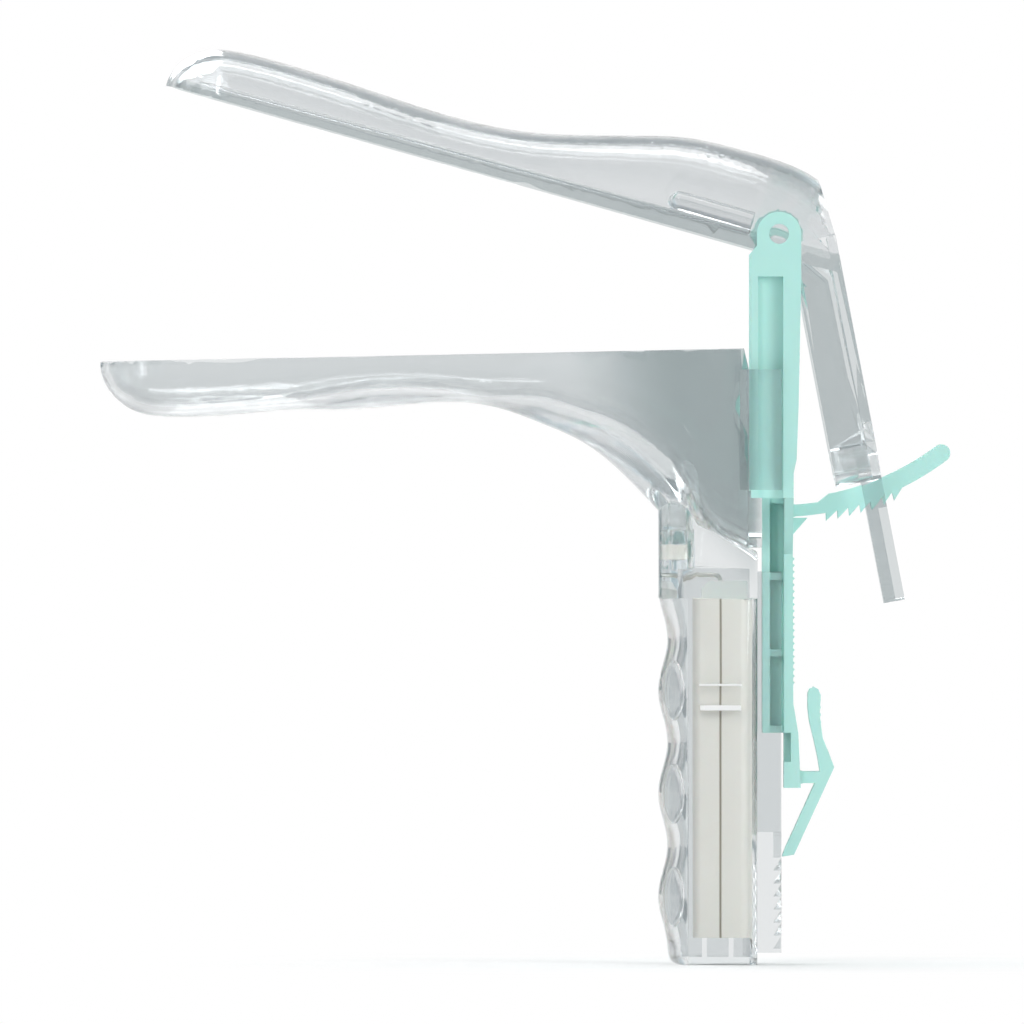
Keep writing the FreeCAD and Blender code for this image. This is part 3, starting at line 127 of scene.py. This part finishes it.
def clearPolystyrene(name, values):
    material, tree = newMaterial(name)
    coords = addNode(tree, "ShaderNodeTexCoord")
    flow = addNode(tree, "ShaderNodeTexNoise",
                   {"Scale": 1 / values["flowSize"], "Detail": 1.0, "Roughness": 0.4},
                   {"Vector": coords.outputs["Object"]})
    bump = addNode(tree, "ShaderNodeBump",
                   {"Strength": values["flowStrength"], "Distance": values["flowDepth"]},
                   {"Height": flow.outputs["Fac"]})
    # where the greyer tone lies: partly the heavier walls' tint, partly painted shade
    share = addNode(tree, "ShaderNodeValue")
    share.outputs[0].default_value = 1.0 if values["heavyTintAndShadeWhere"] else 0.0
    for direction, start, end in values["heavyTintAndShadeWhere"]:
        along = addNode(tree, "ShaderNodeVectorMath", {"operation": "DOT_PRODUCT", 1: direction},
                        {0: coords.outputs["Object"]})
        grown = addNode(tree, "ShaderNodeMapRange",
                        {"interpolation_type": "SMOOTHSTEP", "From Min": start, "From Max": end},
                        {"Value": along.outputs["Value"]})
        share = addNode(tree, "ShaderNodeMath", {"operation": "MULTIPLY"},
                        {0: share.outputs[0], 1: grown.outputs["Result"]})
    face = addNode(tree, "ShaderNodeMix",
                   {"data_type": "RGBA", 6: linear(values["face"]), 7: linear(values["heavyTintAndShade"])},
                   {"Factor": share.outputs[0]})
    # painted shade: the colour darkens towards the edge tone where the wall turns away from the
    # view
    facing = addNode(tree, "ShaderNodeLayerWeight", {"Blend": 0.5})
    turned = addNode(tree, "ShaderNodeMapRange",
                     {"From Min": values["edgeStart"], "From Max": 1.0},
                     {"Value": facing.outputs["Facing"]})
    paintedEdgeShade = addNode(tree, "ShaderNodeMix", {"data_type": "RGBA", 7: linear(values["edge"])},
                   {"Factor": turned.outputs["Result"], 6: face.outputs[2]})
    shader = addNode(tree, "ShaderNodeBsdfPrincipled",
                     {"Roughness": values["roughness"], "IOR": values["ior"],
                      "Transmission Weight": 1.0, "Alpha": values["alpha"]},
                     {"Base Color": paintedEdgeShade.outputs[2], "Normal": bump.outputs["Normal"]})
    # light reaches what stands inside, which a refracting shell would leave dark
    path = addNode(tree, "ShaderNodeLightPath")
    caught = addNode(tree, "ShaderNodeMath", {"operation": "GREATER_THAN", 1: values["depth"]},
                     {0: path.outputs["Ray Depth"]})
    passed = addNode(tree, "ShaderNodeMath", {"operation": "MAXIMUM"},
                     {0: path.outputs["Is Shadow Ray"], 1: caught.outputs[0]})
    light = values["shadowPass"]
    through = addNode(tree, "ShaderNodeBsdfTransparent", {"Color": (light, light, light, 1)})
    mixed = addNode(tree, "ShaderNodeMixShader", {},
                    {0: passed.outputs[0], 1: shader.outputs["BSDF"], 2: through.outputs["BSDF"]})
    finishMaterial(tree, mixed.outputs["Shader"])
    return material


# mint green polypropylene, injection moulded: opaque with a soft milky depth, semi-gloss,
# with the fine orange-peel texture of a spark-eroded mould

mintMoulding = {
    "colour": "#B2E0D9",
    "shade": "#A9D9D2",
    "roughness": 0.38,
    "ior": 1.49,
    "peelSize": 0.5 * millimetre,
    "peelDepth": 0.012 * millimetre,
    "peelStrength": 0.4,
    "cloudSize": 18 * millimetre,
    "scatter": 0.12,
    "scatterReach": 0.8 * millimetre,
    "seamShadow": None,
    "transmission": 0.0,
}


# painted shadow: darkens a thin line where the case's front and rear halves meet, at the plane X =
# 0, as the shade that falls in the joint

def seamShadowLine(tree, coords, colour, values):
    axes = addNode(tree, "ShaderNodeSeparateXYZ", {}, {"Vector": coords.outputs["Object"]})
    away = addNode(tree, "ShaderNodeMath", {"operation": "ABSOLUTE"}, {0: axes.outputs["X"]})
    near, far = values["seamShadowReach"]
    share = addNode(tree, "ShaderNodeMapRange", {"From Min": near, "From Max": far},
                    {"Value": away.outputs[0]})
    line = addNode(tree, "ShaderNodeMix", {"data_type": "RGBA", 6: linear(values["seamShadow"])},
                   {"Factor": share.outputs["Result"], 7: colour})
    return line.outputs[2]


def mouldedPlastic(name, values):
    material, tree = newMaterial(name)
    coords = addNode(tree, "ShaderNodeTexCoord")
    cloud = addNode(tree, "ShaderNodeTexNoise",
                    {"Scale": 1 / values["cloudSize"], "Detail": 2.0},
                    {"Vector": coords.outputs["Object"]})
    blend = addNode(tree, "ShaderNodeMix",
                    {"data_type": "RGBA", 6: linear(values["colour"]), 7: linear(values["shade"])},
                    {"Factor": cloud.outputs["Fac"]})
    colour = blend.outputs[2]
    # the painted shadow in the case's joint
    if values["seamShadow"]:
        colour = seamShadowLine(tree, coords, colour, values)
    peel = addNode(tree, "ShaderNodeTexNoise",
                   {"Scale": 1 / values["peelSize"], "Detail": 2.0},
                   {"Vector": coords.outputs["Object"]})
    bump = addNode(tree, "ShaderNodeBump",
                   {"Strength": values["peelStrength"], "Distance": values["peelDepth"]},
                   {"Height": peel.outputs["Fac"]})
    shader = addNode(tree, "ShaderNodeBsdfPrincipled",
                     {"Roughness": values["roughness"], "IOR": values["ior"],
                      "Transmission Weight": values["transmission"],
                      "Subsurface Weight": values["scatter"],
                      "Subsurface Scale": values["scatterReach"]},
                     {"Base Color": colour, "Normal": bump.outputs["Normal"]})
    finishMaterial(tree, shader.outputs["BSDF"])
    return material


# warm white ABS of the battery case: opaque, satin, faintly mottled

caseMoulding = {
    "colour": "#EEEAE3",
    "shade": "#E9E5DC",
    "roughness": 0.42,
    "ior": 1.49,
    "peelSize": 0.6 * millimetre,
    "peelDepth": 0.01 * millimetre,
    "peelStrength": 0.4,
    "cloudSize": 15 * millimetre,
    "scatter": 0.05,
    "scatterReach": 0.8 * millimetre,
    # painted shadow along the joint of the two halves, and how far it reaches from it
    "seamShadow": "#8F8672",
    "seamShadowReach": (0.12 * millimetre, 0.3 * millimetre),
    "transmission": 0.0,
}

plainMoulding = dict(caseMoulding, seamShadow=None)
# translucent nylon of the lead cap
capMoulding = dict(plainMoulding, colour="#DCE0DC", shade="#D2D8D4", roughness=0.3, scatter=0.1)
# green lacquered glass-fibre laminate, and the tan dipped coat of a small resistor
boardLaminate = dict(plainMoulding, colour="#2F6B45", shade="#28603D", roughness=0.35, scatter=0.0)
resistorCoat = dict(plainMoulding, colour="#C9A877", shade="#BF9C68", roughness=0.5, scatter=0.0)
# clear epoxy of an unlit lamp, cast and glossy
lampEpoxy = dict(plainMoulding, colour="#E4E1EE", shade="#DAD6E8", roughness=0.12, scatter=0.3)
# clear polystyrene with a ground surface, which reads as white; the same white also makes the
# painted highlights on the handle's panels
frostedMoulding = dict(plainMoulding, colour="#FFFFFF", shade="#FBFCFC", roughness=0.3,
                       scatter=0.0, transmission=0.25)


# nickel-plated steel strip and wire: bright, drawn along its length

platedSteel = {
    "colour": "#C9C8C2",
    "roughness": 0.28,
    "grainSize": 0.4 * millimetre,
    "grainDepth": 0.01 * millimetre,
    "grainStrength": 0.2,
}


def platedMetal(name, values):
    material, tree = newMaterial(name)
    coords = addNode(tree, "ShaderNodeTexCoord")
    grain = addNode(tree, "ShaderNodeTexNoise",
                    {"Scale": 1 / values["grainSize"], "Detail": 3.0},
                    {"Vector": coords.outputs["Object"]})
    bump = addNode(tree, "ShaderNodeBump",
                   {"Strength": values["grainStrength"], "Distance": values["grainDepth"]},
                   {"Height": grain.outputs["Fac"]})
    shader = addNode(tree, "ShaderNodeBsdfPrincipled",
                     {"Base Color": linear(values["colour"]), "Metallic": 1.0,
                      "Roughness": values["roughness"]},
                     {"Normal": bump.outputs["Normal"]})
    finishMaterial(tree, shader.outputs["BSDF"])
    return material


clear = clearPolystyrene("clearPolystyrene", clearMoulding)
lowerClear = clearPolystyrene("clearPolystyreneThroat", lowerWall)
upperClear = clearPolystyrene("clearPolystyreneBlade", upperWall)
frostAndHighlight = mouldedPlastic("frostedPolystyrene", frostedMoulding)
lensClear = clearPolystyrene("lensPolystyrene", lensMoulding)
mint = mouldedPlastic("mintPolypropylene", mintMoulding)
caseWhite = mouldedPlastic("warmWhiteAbs", caseMoulding)
capWhite = mouldedPlastic("translucentCapNylon", capMoulding)
board = mouldedPlastic("boardLaminate", boardLaminate)
coat = mouldedPlastic("resistorCoat", resistorCoat)
lampClear = mouldedPlastic("lampEpoxy", lampEpoxy)
metal = platedMetal("nickelPlatedSteel", platedSteel)
print("materials done")


# the small parts of the lamp unit keep the frame's own meshes

def dress(names, material):
    for name in names:
        mesh = nodes[name].data
        mesh.materials.clear()
        mesh.materials.append(material)


dress(["lamp_holder"], caseWhite)
dress(["lead_cap"], capWhite)
dress(["circuit_board"], board)
dress(["resistor"], coat)
dress(["battery_cell_left", "battery_cell_right", "contact_bridge", "contact_leaf_left",
       "contact_leaf_right", "lamp_lead_left", "lamp_lead_right"], metal)
dress(["lamp"], lampClear)


# the mouldings as they leave the mould: each solid's mesh with its facets merged, its
# surfaces smooth and its edges broken by a small radius

mouldings = {
    # node: piece name, body, edge radius in millimetres, slot, material
    "lower_valve": ("lowerValveMoulding", "handle", 0.22, "clear_plastic", lowerClear),
    "grip_cover": ("gripCoverMoulding", "handle", 0.22, "clear_plastic", clear),
    "lens": ("lensMoulding", "handle", 0.15, "lens_plastic", lensClear),
    "upper_valve": ("upperValveMoulding", "upper_blade", 0.22, "clear_plastic", upperClear),
    "yoke": ("yokeMoulding", "yoke", 0.25, "green_plastic", mint),
    "ratchet_arm": ("ratchetArmMoulding", "ratchet_arm", 0.2, "green_plastic", mint),
    "latch": ("latchMoulding", "latch", 0.2, "green_plastic", mint),
    "battery_case_front": ("caseFrontMoulding", "handle", 0.35, "white_case", caseWhite),
    "battery_case_rear": ("caseRearMoulding", "handle", 0.35, "white_case", caseWhite),
}
sharpAngle = math.radians(32)            # a sharper fold is an edge, a flatter one is smooth
edgeSegments = 2
weldDistance = 0.002 * millimetre
flatAngle = math.radians(0.05)           # facets that meet flatter than this become one


# a smooth piece that rides on a body, its edges broken by a small radius where it has one

def addPiece(name, shape, material, body, edgeRadius=0.0):
    for face in shape.faces:
        face.smooth = True
    mesh = bpy.data.meshes.new(name)
    shape.to_mesh(mesh)
    shape.free()
    mesh.set_sharp_from_angle(angle=sharpAngle)
    mesh.materials.append(material)
    piece = bpy.data.objects.new(name, mesh)
    bpy.context.scene.collection.objects.link(piece)
    if edgeRadius:
        broken = piece.modifiers.new("edgeRadius", "BEVEL")
        broken.width = edgeRadius
        broken.segments = edgeSegments
        broken.limit_method = "ANGLE"
        broken.angle_limit = sharpAngle
        broken.harden_normals = True
    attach(piece, body)
    return piece


# the throat's walls run further back under the guides, down to the crown

throatHeel = {
    "plane": 5.6 * millimetre,       # the throat's back edge, which is carried on
    "near": 0.3 * millimetre,        # a face counts as part of that edge within this distance
    "facing": 0.9,                   # and where it looks backwards at least this squarely
    "from": 80 * millimetre,
    "to": 94.7 * millimetre,
    "reach": 2.7 * millimetre,
    "cutSnap": 0.001 * millimetre,
}


def addHeel(shape, values):
    bmesh.ops.bisect_plane(shape, geom=shape.verts[:] + shape.edges[:] + shape.faces[:],
                           dist=values["cutSnap"], plane_co=(0, 0, values["to"]),
                           plane_no=(0, 0, 1))
    back = []
    for face in shape.faces:
        centre = face.calc_center_median()
        if (face.normal.x > values["facing"] and abs(centre.x - values["plane"]) < values["near"]
                and values["from"] < centre.z < values["to"]):
            back.append(face)
    grown = bmesh.ops.extrude_face_region(shape, geom=back)
    verts = [item for item in grown["geom"] if isinstance(item, bmesh.types.BMVert)]
    bmesh.ops.translate(shape, vec=(values["reach"], 0, 0), verts=verts)


def moulding(node, name, body, edgeRadius, material):
    shape = bmesh.new()
    shape.from_mesh(nodes[node].data)
    bmesh.ops.remove_doubles(shape, verts=shape.verts[:], dist=weldDistance)
    if node == "lower_valve":
        addHeel(shape, throatHeel)
    bmesh.ops.dissolve_limit(shape, angle_limit=flatAngle, use_dissolve_boundaries=False,
                             verts=shape.verts[:], edges=shape.edges[:], delimit={"NORMAL"})
    piece = addPiece(name, shape, material, body, edgeRadius)
    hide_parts(node)
    return piece


for node, (name, body, edgeRadius, slotName, material) in mouldings.items():
    piece = moulding(node, name, body, edgeRadius * millimetre, material)
    print(name, "made:", len(piece.data.polygons), "faces")


# rounded beads on the upper valve's sides, laid on the wall that the frame gives: a long one
# above the rim, and a broad short one before the hinge with a rounded front end

hinge = Vector(next(j for j in frame["joints"] if j["name"] == "blade_tilt")["pos_m"])

beads = {
    "hoodBead": {
        "radius": 1.9 * millimetre,
        "sunk": 0.78,                # share of the radius below the wall's surface
        "start": (-23.0 * millimetre, 1.5 * millimetre),   # along the blade, above the hinge
        "end": (-5.8 * millimetre, 1.2 * millimetre),
        "stations": 24,
        "nose": 0.12,                # share of the length over which the front end narrows
        "tip": 0.2,                  # share of the radius that is left at the front end
    },
    "rimBead": {
        "radius": 0.4 * millimetre,
        "sunk": 0.45,
        "start": (-119.5 * millimetre, -0.4 * millimetre),
        "end": (-5.8 * millimetre, -1.1 * millimetre),
        "stations": 48,
        "nose": 0.02,
        "tip": 0.2,
    },
}
beadSides = 16
outside = 60 * millimetre            # from the middle plane, clear of the object on either side


# a place on the blade's side, by its distance along the blade from the hinge and above it

def onBlade(along, above):
    x = hinge.x + along * math.cos(bladeAngle) + above * math.sin(bladeAngle)
    return x, hinge.z - along * math.sin(bladeAngle) + above * math.cos(bladeAngle)


def surfaceOf(node):
    shape = bmesh.new()
    shape.from_mesh(nodes[node].data)
    surface = BVHTree.FromBMesh(shape)
    shape.free()
    return surface


upperSurface = surfaceOf("upper_valve")
coverSurface = surfaceOf("grip_cover")


# where a line across from one side meets the surface, and which way the surface looks there

def wallPoint(surface, x, z, side):
    return surface.ray_cast(Vector((x, side * outside, z)), Vector((0, -side, 0)))[:2]


def addBead(name, values, side):
    places = []
    wide = []
    for step in range(values["stations"]):
        share = step / (values["stations"] - 1)
        along, above = (a + share * (b - a) for a, b in zip(values["start"], values["end"]))
        full = min(1.0, (share + 0.001) / values["nose"])      # the nose is a quarter circle
        radius = values["radius"] * math.sqrt(1 - (1 - full) ** 2)
        place, normal = wallPoint(upperSurface, *onBlade(along, above), side)
        places.append(place - normal * values["sunk"] * values["radius"])
        wide.append(max(radius, values["tip"] * values["radius"]))
    shape = bmesh.new()
    ring = bmesh.ops.create_circle(shape, cap_ends=True, radius=wide[0],
                                   segments=beadSides)["verts"]
    turn = (places[1] - places[0]).to_track_quat("Z", "Y").to_matrix().to_4x4()
    bmesh.ops.transform(shape, matrix=Matrix.Translation(places[0]) @ turn, verts=ring)
    face = shape.faces[:][0]
    for step in range(1, len(places)):
        face = bmesh.ops.extrude_discrete_faces(shape, faces=[face])["faces"][0]
        bmesh.ops.translate(shape, vec=places[step] - places[step - 1], verts=face.verts[:])
        grow = wide[step] / wide[step - 1]
        bmesh.ops.scale(shape, vec=(grow, grow, grow), space=Matrix.Translation(-places[step]),
                        verts=face.verts[:])
    bmesh.ops.recalc_face_normals(shape, faces=shape.faces[:])
    addPiece(name, shape, upperClear, "upper_blade")


for name, values in beads.items():
    for sideName, side in (("Near", -1), ("Far", 1)):
        addBead(name + sideName, values, side)
print("beads made")


# low domes set on a wall: oval finger pads at the grip's ridges, and the small round
# moulding marks on the hood

fingerPads = {
    "x": -9.3 * millimetre,
    "heights": (13.6 * millimetre, 34.2 * millimetre, 54.8 * millimetre),
    "halves": (2.6 * millimetre, 6.0 * millimetre, 0.5 * millimetre),   # half of each size
}
hoodMarks = {
    # x, height and radius, in millimetres
    "spots": [
        (-15.6, 163.6, 0.32), (-13.6, 164.1, 0.28), (-14.2, 162.7, 0.26), (-11.6, 163.0, 0.24),
        (-4.0, 162.9, 0.4), (-2.4, 161.3, 0.34), (0.2, 161.4, 0.62), (-2.6, 163.2, 0.26),
    ],
    "flatness": 0.5,                 # height as a share of the radius
}
domeMesh = {"u_segments": 32, "v_segments": 16}


def addDome(name, place, normal, halves, material, body):
    shape = bmesh.new()
    turn = normal.to_track_quat("Z", "Y").to_matrix().to_4x4()
    sized = Matrix.Diagonal((*halves, 1))
    bmesh.ops.create_uvsphere(shape, radius=1.0, matrix=Matrix.Translation(place) @ turn @ sized,
                              **domeMesh)
    addPiece(name, shape, material, body)


for sideName, side in (("Near", -1), ("Far", 1)):
    for number, height in enumerate(fingerPads["heights"], 1):
        place, normal = wallPoint(coverSurface, fingerPads["x"], height, side)
        addDome(f"fingerPad{number}{sideName}", place, normal, fingerPads["halves"], clear,
                "handle")
for number, (x, height, radius) in enumerate(hoodMarks["spots"], 1):
    half = radius * millimetre
    place, normal = wallPoint(upperSurface, x * millimetre, height * millimetre, -1)
    addDome(f"hoodMark{number}", place, normal, (half, half, half * hoodMarks["flatness"]),
            upperClear, "upper_blade")


# the milky core of the lens, which spreads the lamp's light

lensCore = {
    "place": (-8.2 * millimetre, 0, 90.0 * millimetre),
    "halves": (2.5 * millimetre, 2.5 * millimetre, 3.3 * millimetre),
}
addDome("lensCore", Vector(lensCore["place"]), Vector((0, 0, 1)), lensCore["halves"], frostAndHighlight,
        "handle")
print("domes made")


# white bars along the upper and lower edge of the shallow panel on each side of the handle:
# painted highlights where these edges catch the light

panelHighlightBars = {
    "wall": 11.8 * millimetre,       # the panel's floor, from the middle plane
    "thickness": 0.4 * millimetre,
    "edgeRadius": 0.15 * millimetre,
    "bars": [
        # name, length along X, width up, height above the foot
        ("panelHighlightUpper", 8.6 * millimetre, 0.45 * millimetre, 55.9 * millimetre),
        ("panelHighlightLower", 8.2 * millimetre, 1.1 * millimetre, 51.3 * millimetre),
    ],
}


def addBar(name, length, width, height, side, values):
    thick = values["thickness"]
    shape = bmesh.new()
    bmesh.ops.create_cube(shape, size=1.0)
    bmesh.ops.scale(shape, vec=(length, thick, width), verts=shape.verts[:])
    bmesh.ops.translate(shape, vec=(0, side * (values["wall"] + thick / 2), height),
                        verts=shape.verts[:])
    # painted highlights: the bars are white to stand for the light on the panel's edges
    addPiece(name, shape, frostAndHighlight, "handle", values["edgeRadius"])


for name, length, width, height in panelHighlightBars["bars"]:
    for sideName, side in (("Near", -1), ("Far", 1)):
        addBar(name + sideName, length, width, height, side, panelHighlightBars)
print("bars made")


# camera square to the middle plane, as the photograph is, with a long lens

photo = {
    "pixels": 1024,
    "millimetresPerPixel": 0.2,
    "footColumn": 720,       # the handle's foot in the photograph
    "footRow": 964,
    "distance": 5.0,         # metres from the middle plane
    "sensor": 36.0,
}


def addCamera(values):
    width = values["pixels"] * values["millimetresPerPixel"] * millimetre
    half = values["pixels"] / 2
    across = (half - values["footColumn"]) * values["millimetresPerPixel"] * millimetre
    up = (values["footRow"] - half) * values["millimetresPerPixel"] * millimetre
    data = bpy.data.cameras.new("camera")
    data.sensor_width = values["sensor"]
    data.lens = values["sensor"] * values["distance"] / width
    camera = bpy.data.objects.new("camera", data)
    camera.location = (across, -values["distance"], up)
    camera.rotation_euler = (math.radians(90), 0, 0)
    bpy.context.scene.collection.objects.link(camera)
    bpy.context.scene.camera = camera


addCamera(photo)


# pale floor under the foot, and soft lamps

studio = {
    "floorSize": 12.0,
    "floorColour": "#F4F5F5",
    "shadowReach": (0.02, 0.12),   # the floor fades to plain white between these distances
    "worldColour": "#E2E5E6",
    "worldStrength": 0.6,
    "flags": 8,                    # dark cards round the bright field, which edge clear plastic
    "flagTone": "#5C666A",
    "flagFade": (-0.75, 0.35),     # from the middle of a card to the bright field beside it
    "roofFade": (0.3, 0.62),       # height, as a share, over which the field darkens upwards
    "roofTone": "#AEB6B9",
    "glow": 4.5,                   # of the striplights before the cards, in mirror rays alone
    "glowFade": (0.1, -0.7),
    "glowLeft": 0.25,              # share of it on the blades' side
    "glowSides": (-0.3, 0.3),      # from the blades' side to the lever's side
    "aim": (-0.03, 0, 0.1),
    "lamps": [
        # name, place, (width, height), watts
        ("keyStrip", (-0.45, -1.0, 0.75), (0.1, 0.9), 3.0),
        ("topSoftbox", (-0.05, 0.1, 1.1), (0.6, 0.4), 4.0),
        ("sideSoftbox", (0.9, -0.75, 0.3), (0.5, 0.8), 7.0),
        ("backSoftbox", (-0.4, 1.2, 0.7), (0.6, 0.6), 5.0),
    ],
}


# the rays that see the backdrop and not the soft light: from the camera, mirrored, or
# through clear plastic

def seenRays(tree):
    path = addNode(tree, "ShaderNodeLightPath")
    first = addNode(tree, "ShaderNodeMath", {"operation": "MAXIMUM"},
                    {0: path.outputs["Is Camera Ray"], 1: path.outputs["Is Glossy Ray"]})
    return addNode(tree, "ShaderNodeMath", {"operation": "MAXIMUM"},
                   {0: first.outputs[0], 1: path.outputs["Is Transmission Ray"]})


def addFloor(values):
    mesh = bpy.data.meshes.new("floor")
    shape = bmesh.new()
    bmesh.ops.create_grid(shape, x_segments=1, y_segments=1, size=values["floorSize"] / 2)
    shape.to_mesh(mesh)
    shape.free()
    floor = bpy.data.objects.new("floor", mesh)
    bpy.context.scene.collection.objects.link(floor)
    material, tree = newMaterial("paleFloor")
    coords = addNode(tree, "ShaderNodeTexCoord")
    length = addNode(tree, "ShaderNodeVectorMath", {"operation": "LENGTH"},
                     {0: coords.outputs["Object"]})
    near, far = values["shadowReach"]
    fade = addNode(tree, "ShaderNodeMapRange",
                   {"interpolation_type": "SMOOTHSTEP", "From Min": near, "From Max": far},
                   {"Value": length.outputs["Value"]})
    share = addNode(tree, "ShaderNodeMath", {"operation": "MULTIPLY"},
                    {0: fade.outputs["Result"], 1: seenRays(tree).outputs[0]})
    diffuse = addNode(tree, "ShaderNodeBsdfDiffuse", {"Color": linear(values["floorColour"])})
    white = addNode(tree, "ShaderNodeEmission", {"Color": (1, 1, 1, 1), "Strength": 1.0})
    mix = addNode(tree, "ShaderNodeMixShader", {},
                  {0: share.outputs[0], 1: diffuse.outputs[0], 2: white.outputs[0]})
    finishMaterial(tree, mix.outputs["Shader"])
    mesh.materials.append(material)


# what mirrors and clear plastic see round the set: white towards each eighth of a turn, so
# that a wall seen square on stays clear, with dark cards between and a greyer roof

def cardField(tree, values):
    coords = addNode(tree, "ShaderNodeTexCoord")
    axes = addNode(tree, "ShaderNodeSeparateXYZ", {}, {"Vector": coords.outputs["Generated"]})
    turn = addNode(tree, "ShaderNodeMath", {"operation": "ARCTAN2"},
                   {0: axes.outputs["Y"], 1: axes.outputs["X"]})
    wave = addNode(tree, "ShaderNodeMath", {"operation": "MULTIPLY", 1: values["flags"]},
                   {0: turn.outputs[0]})
    stripe = addNode(tree, "ShaderNodeMath", {"operation": "COSINE"}, {0: wave.outputs[0]})
    low, high = values["flagFade"]
    card = addNode(tree, "ShaderNodeMapRange",
                   {"interpolation_type": "SMOOTHSTEP", "From Min": low, "From Max": high},
                   {"Value": stripe.outputs[0]})
    low, high = values["roofFade"]
    roof = addNode(tree, "ShaderNodeMapRange",
                   {"interpolation_type": "SMOOTHSTEP", "From Min": low, "From Max": high},
                   {"Value": axes.outputs["Z"]})
    ring = addNode(tree, "ShaderNodeMix",
                   {"data_type": "RGBA", 6: linear(values["flagTone"]), 7: (1, 1, 1, 1)},
                   {"Factor": card.outputs["Result"]})
    whole = addNode(tree, "ShaderNodeMix",
                    {"data_type": "RGBA", 7: linear(values["roofTone"])},
                    {"Factor": roof.outputs["Result"], 6: ring.outputs[2]})
    low, high = values["glowFade"]
    box = addNode(tree, "ShaderNodeMapRange",
                  {"interpolation_type": "SMOOTHSTEP", "From Min": low, "From Max": high,
                   "To Max": values["glow"]}, {"Value": stripe.outputs[0]})
    level = addNode(tree, "ShaderNodeMapRange", {"To Min": 1.0, "To Max": 0.0},
                    {"Value": roof.outputs["Result"]})
    strip = addNode(tree, "ShaderNodeMath", {"operation": "MULTIPLY"},
                    {0: box.outputs["Result"], 1: level.outputs["Result"]})
    low, high = values["glowSides"]
    side = addNode(tree, "ShaderNodeMapRange",
                   {"From Min": low, "From Max": high, "To Min": values["glowLeft"]},
                   {"Value": axes.outputs["X"]})
    lit = addNode(tree, "ShaderNodeMath", {"operation": "MULTIPLY"},
                  {0: strip.outputs[0], 1: side.outputs["Result"]})
    path = addNode(tree, "ShaderNodeLightPath")
    mirrored = addNode(tree, "ShaderNodeMath", {"operation": "MULTIPLY"},
                       {0: lit.outputs[0], 1: path.outputs["Is Glossy Ray"]})
    strength = addNode(tree, "ShaderNodeMath", {"operation": "ADD", 1: 1.0},
                       {0: mirrored.outputs[0]})
    return whole.outputs[2], strength.outputs[0]


# the camera sees white, mirrors and clear plastic the cards, and the rest a soft light

def addWorld(values):
    world = bpy.data.worlds.new("studio")
    bpy.context.scene.world = world
    world.use_nodes = True
    tree = world.node_tree
    tree.nodes.clear()
    soft = addNode(tree, "ShaderNodeBackground",
                   {"Color": linear(values["worldColour"]), "Strength": values["worldStrength"]})
    white = addNode(tree, "ShaderNodeBackground", {"Color": (1, 1, 1, 1), "Strength": 1.0})
    colour, strength = cardField(tree, values)
    field = addNode(tree, "ShaderNodeBackground", {}, {"Color": colour, "Strength": strength})
    path = addNode(tree, "ShaderNodeLightPath")
    bent = addNode(tree, "ShaderNodeMixShader", {},
                   {0: seenRays(tree).outputs[0], 1: soft.outputs[0], 2: field.outputs[0]})
    mix = addNode(tree, "ShaderNodeMixShader", {},
                  {0: path.outputs["Is Camera Ray"], 1: bent.outputs[0], 2: white.outputs[0]})
    output = addNode(tree, "ShaderNodeOutputWorld")
    tree.links.new(mix.outputs[0], output.inputs["Surface"])


def addLamps(values):
    aim = Vector(values["aim"])
    for name, place, (wide, high), watts in values["lamps"]:
        data = bpy.data.lights.new(name, "AREA")
        data.shape = "RECTANGLE"
        data.size = wide
        data.size_y = high
        data.energy = watts
        lamp = bpy.data.objects.new(name, data)
        lamp.location = place
        lamp.rotation_euler = (aim - Vector(place)).to_track_quat("-Z", "Y").to_euler()
        bpy.context.scene.collection.objects.link(lamp)


addFloor(studio)
addWorld(studio)
addLamps(studio)
bpy.context.scene.view_settings.view_transform = "Standard"
print("stage done")
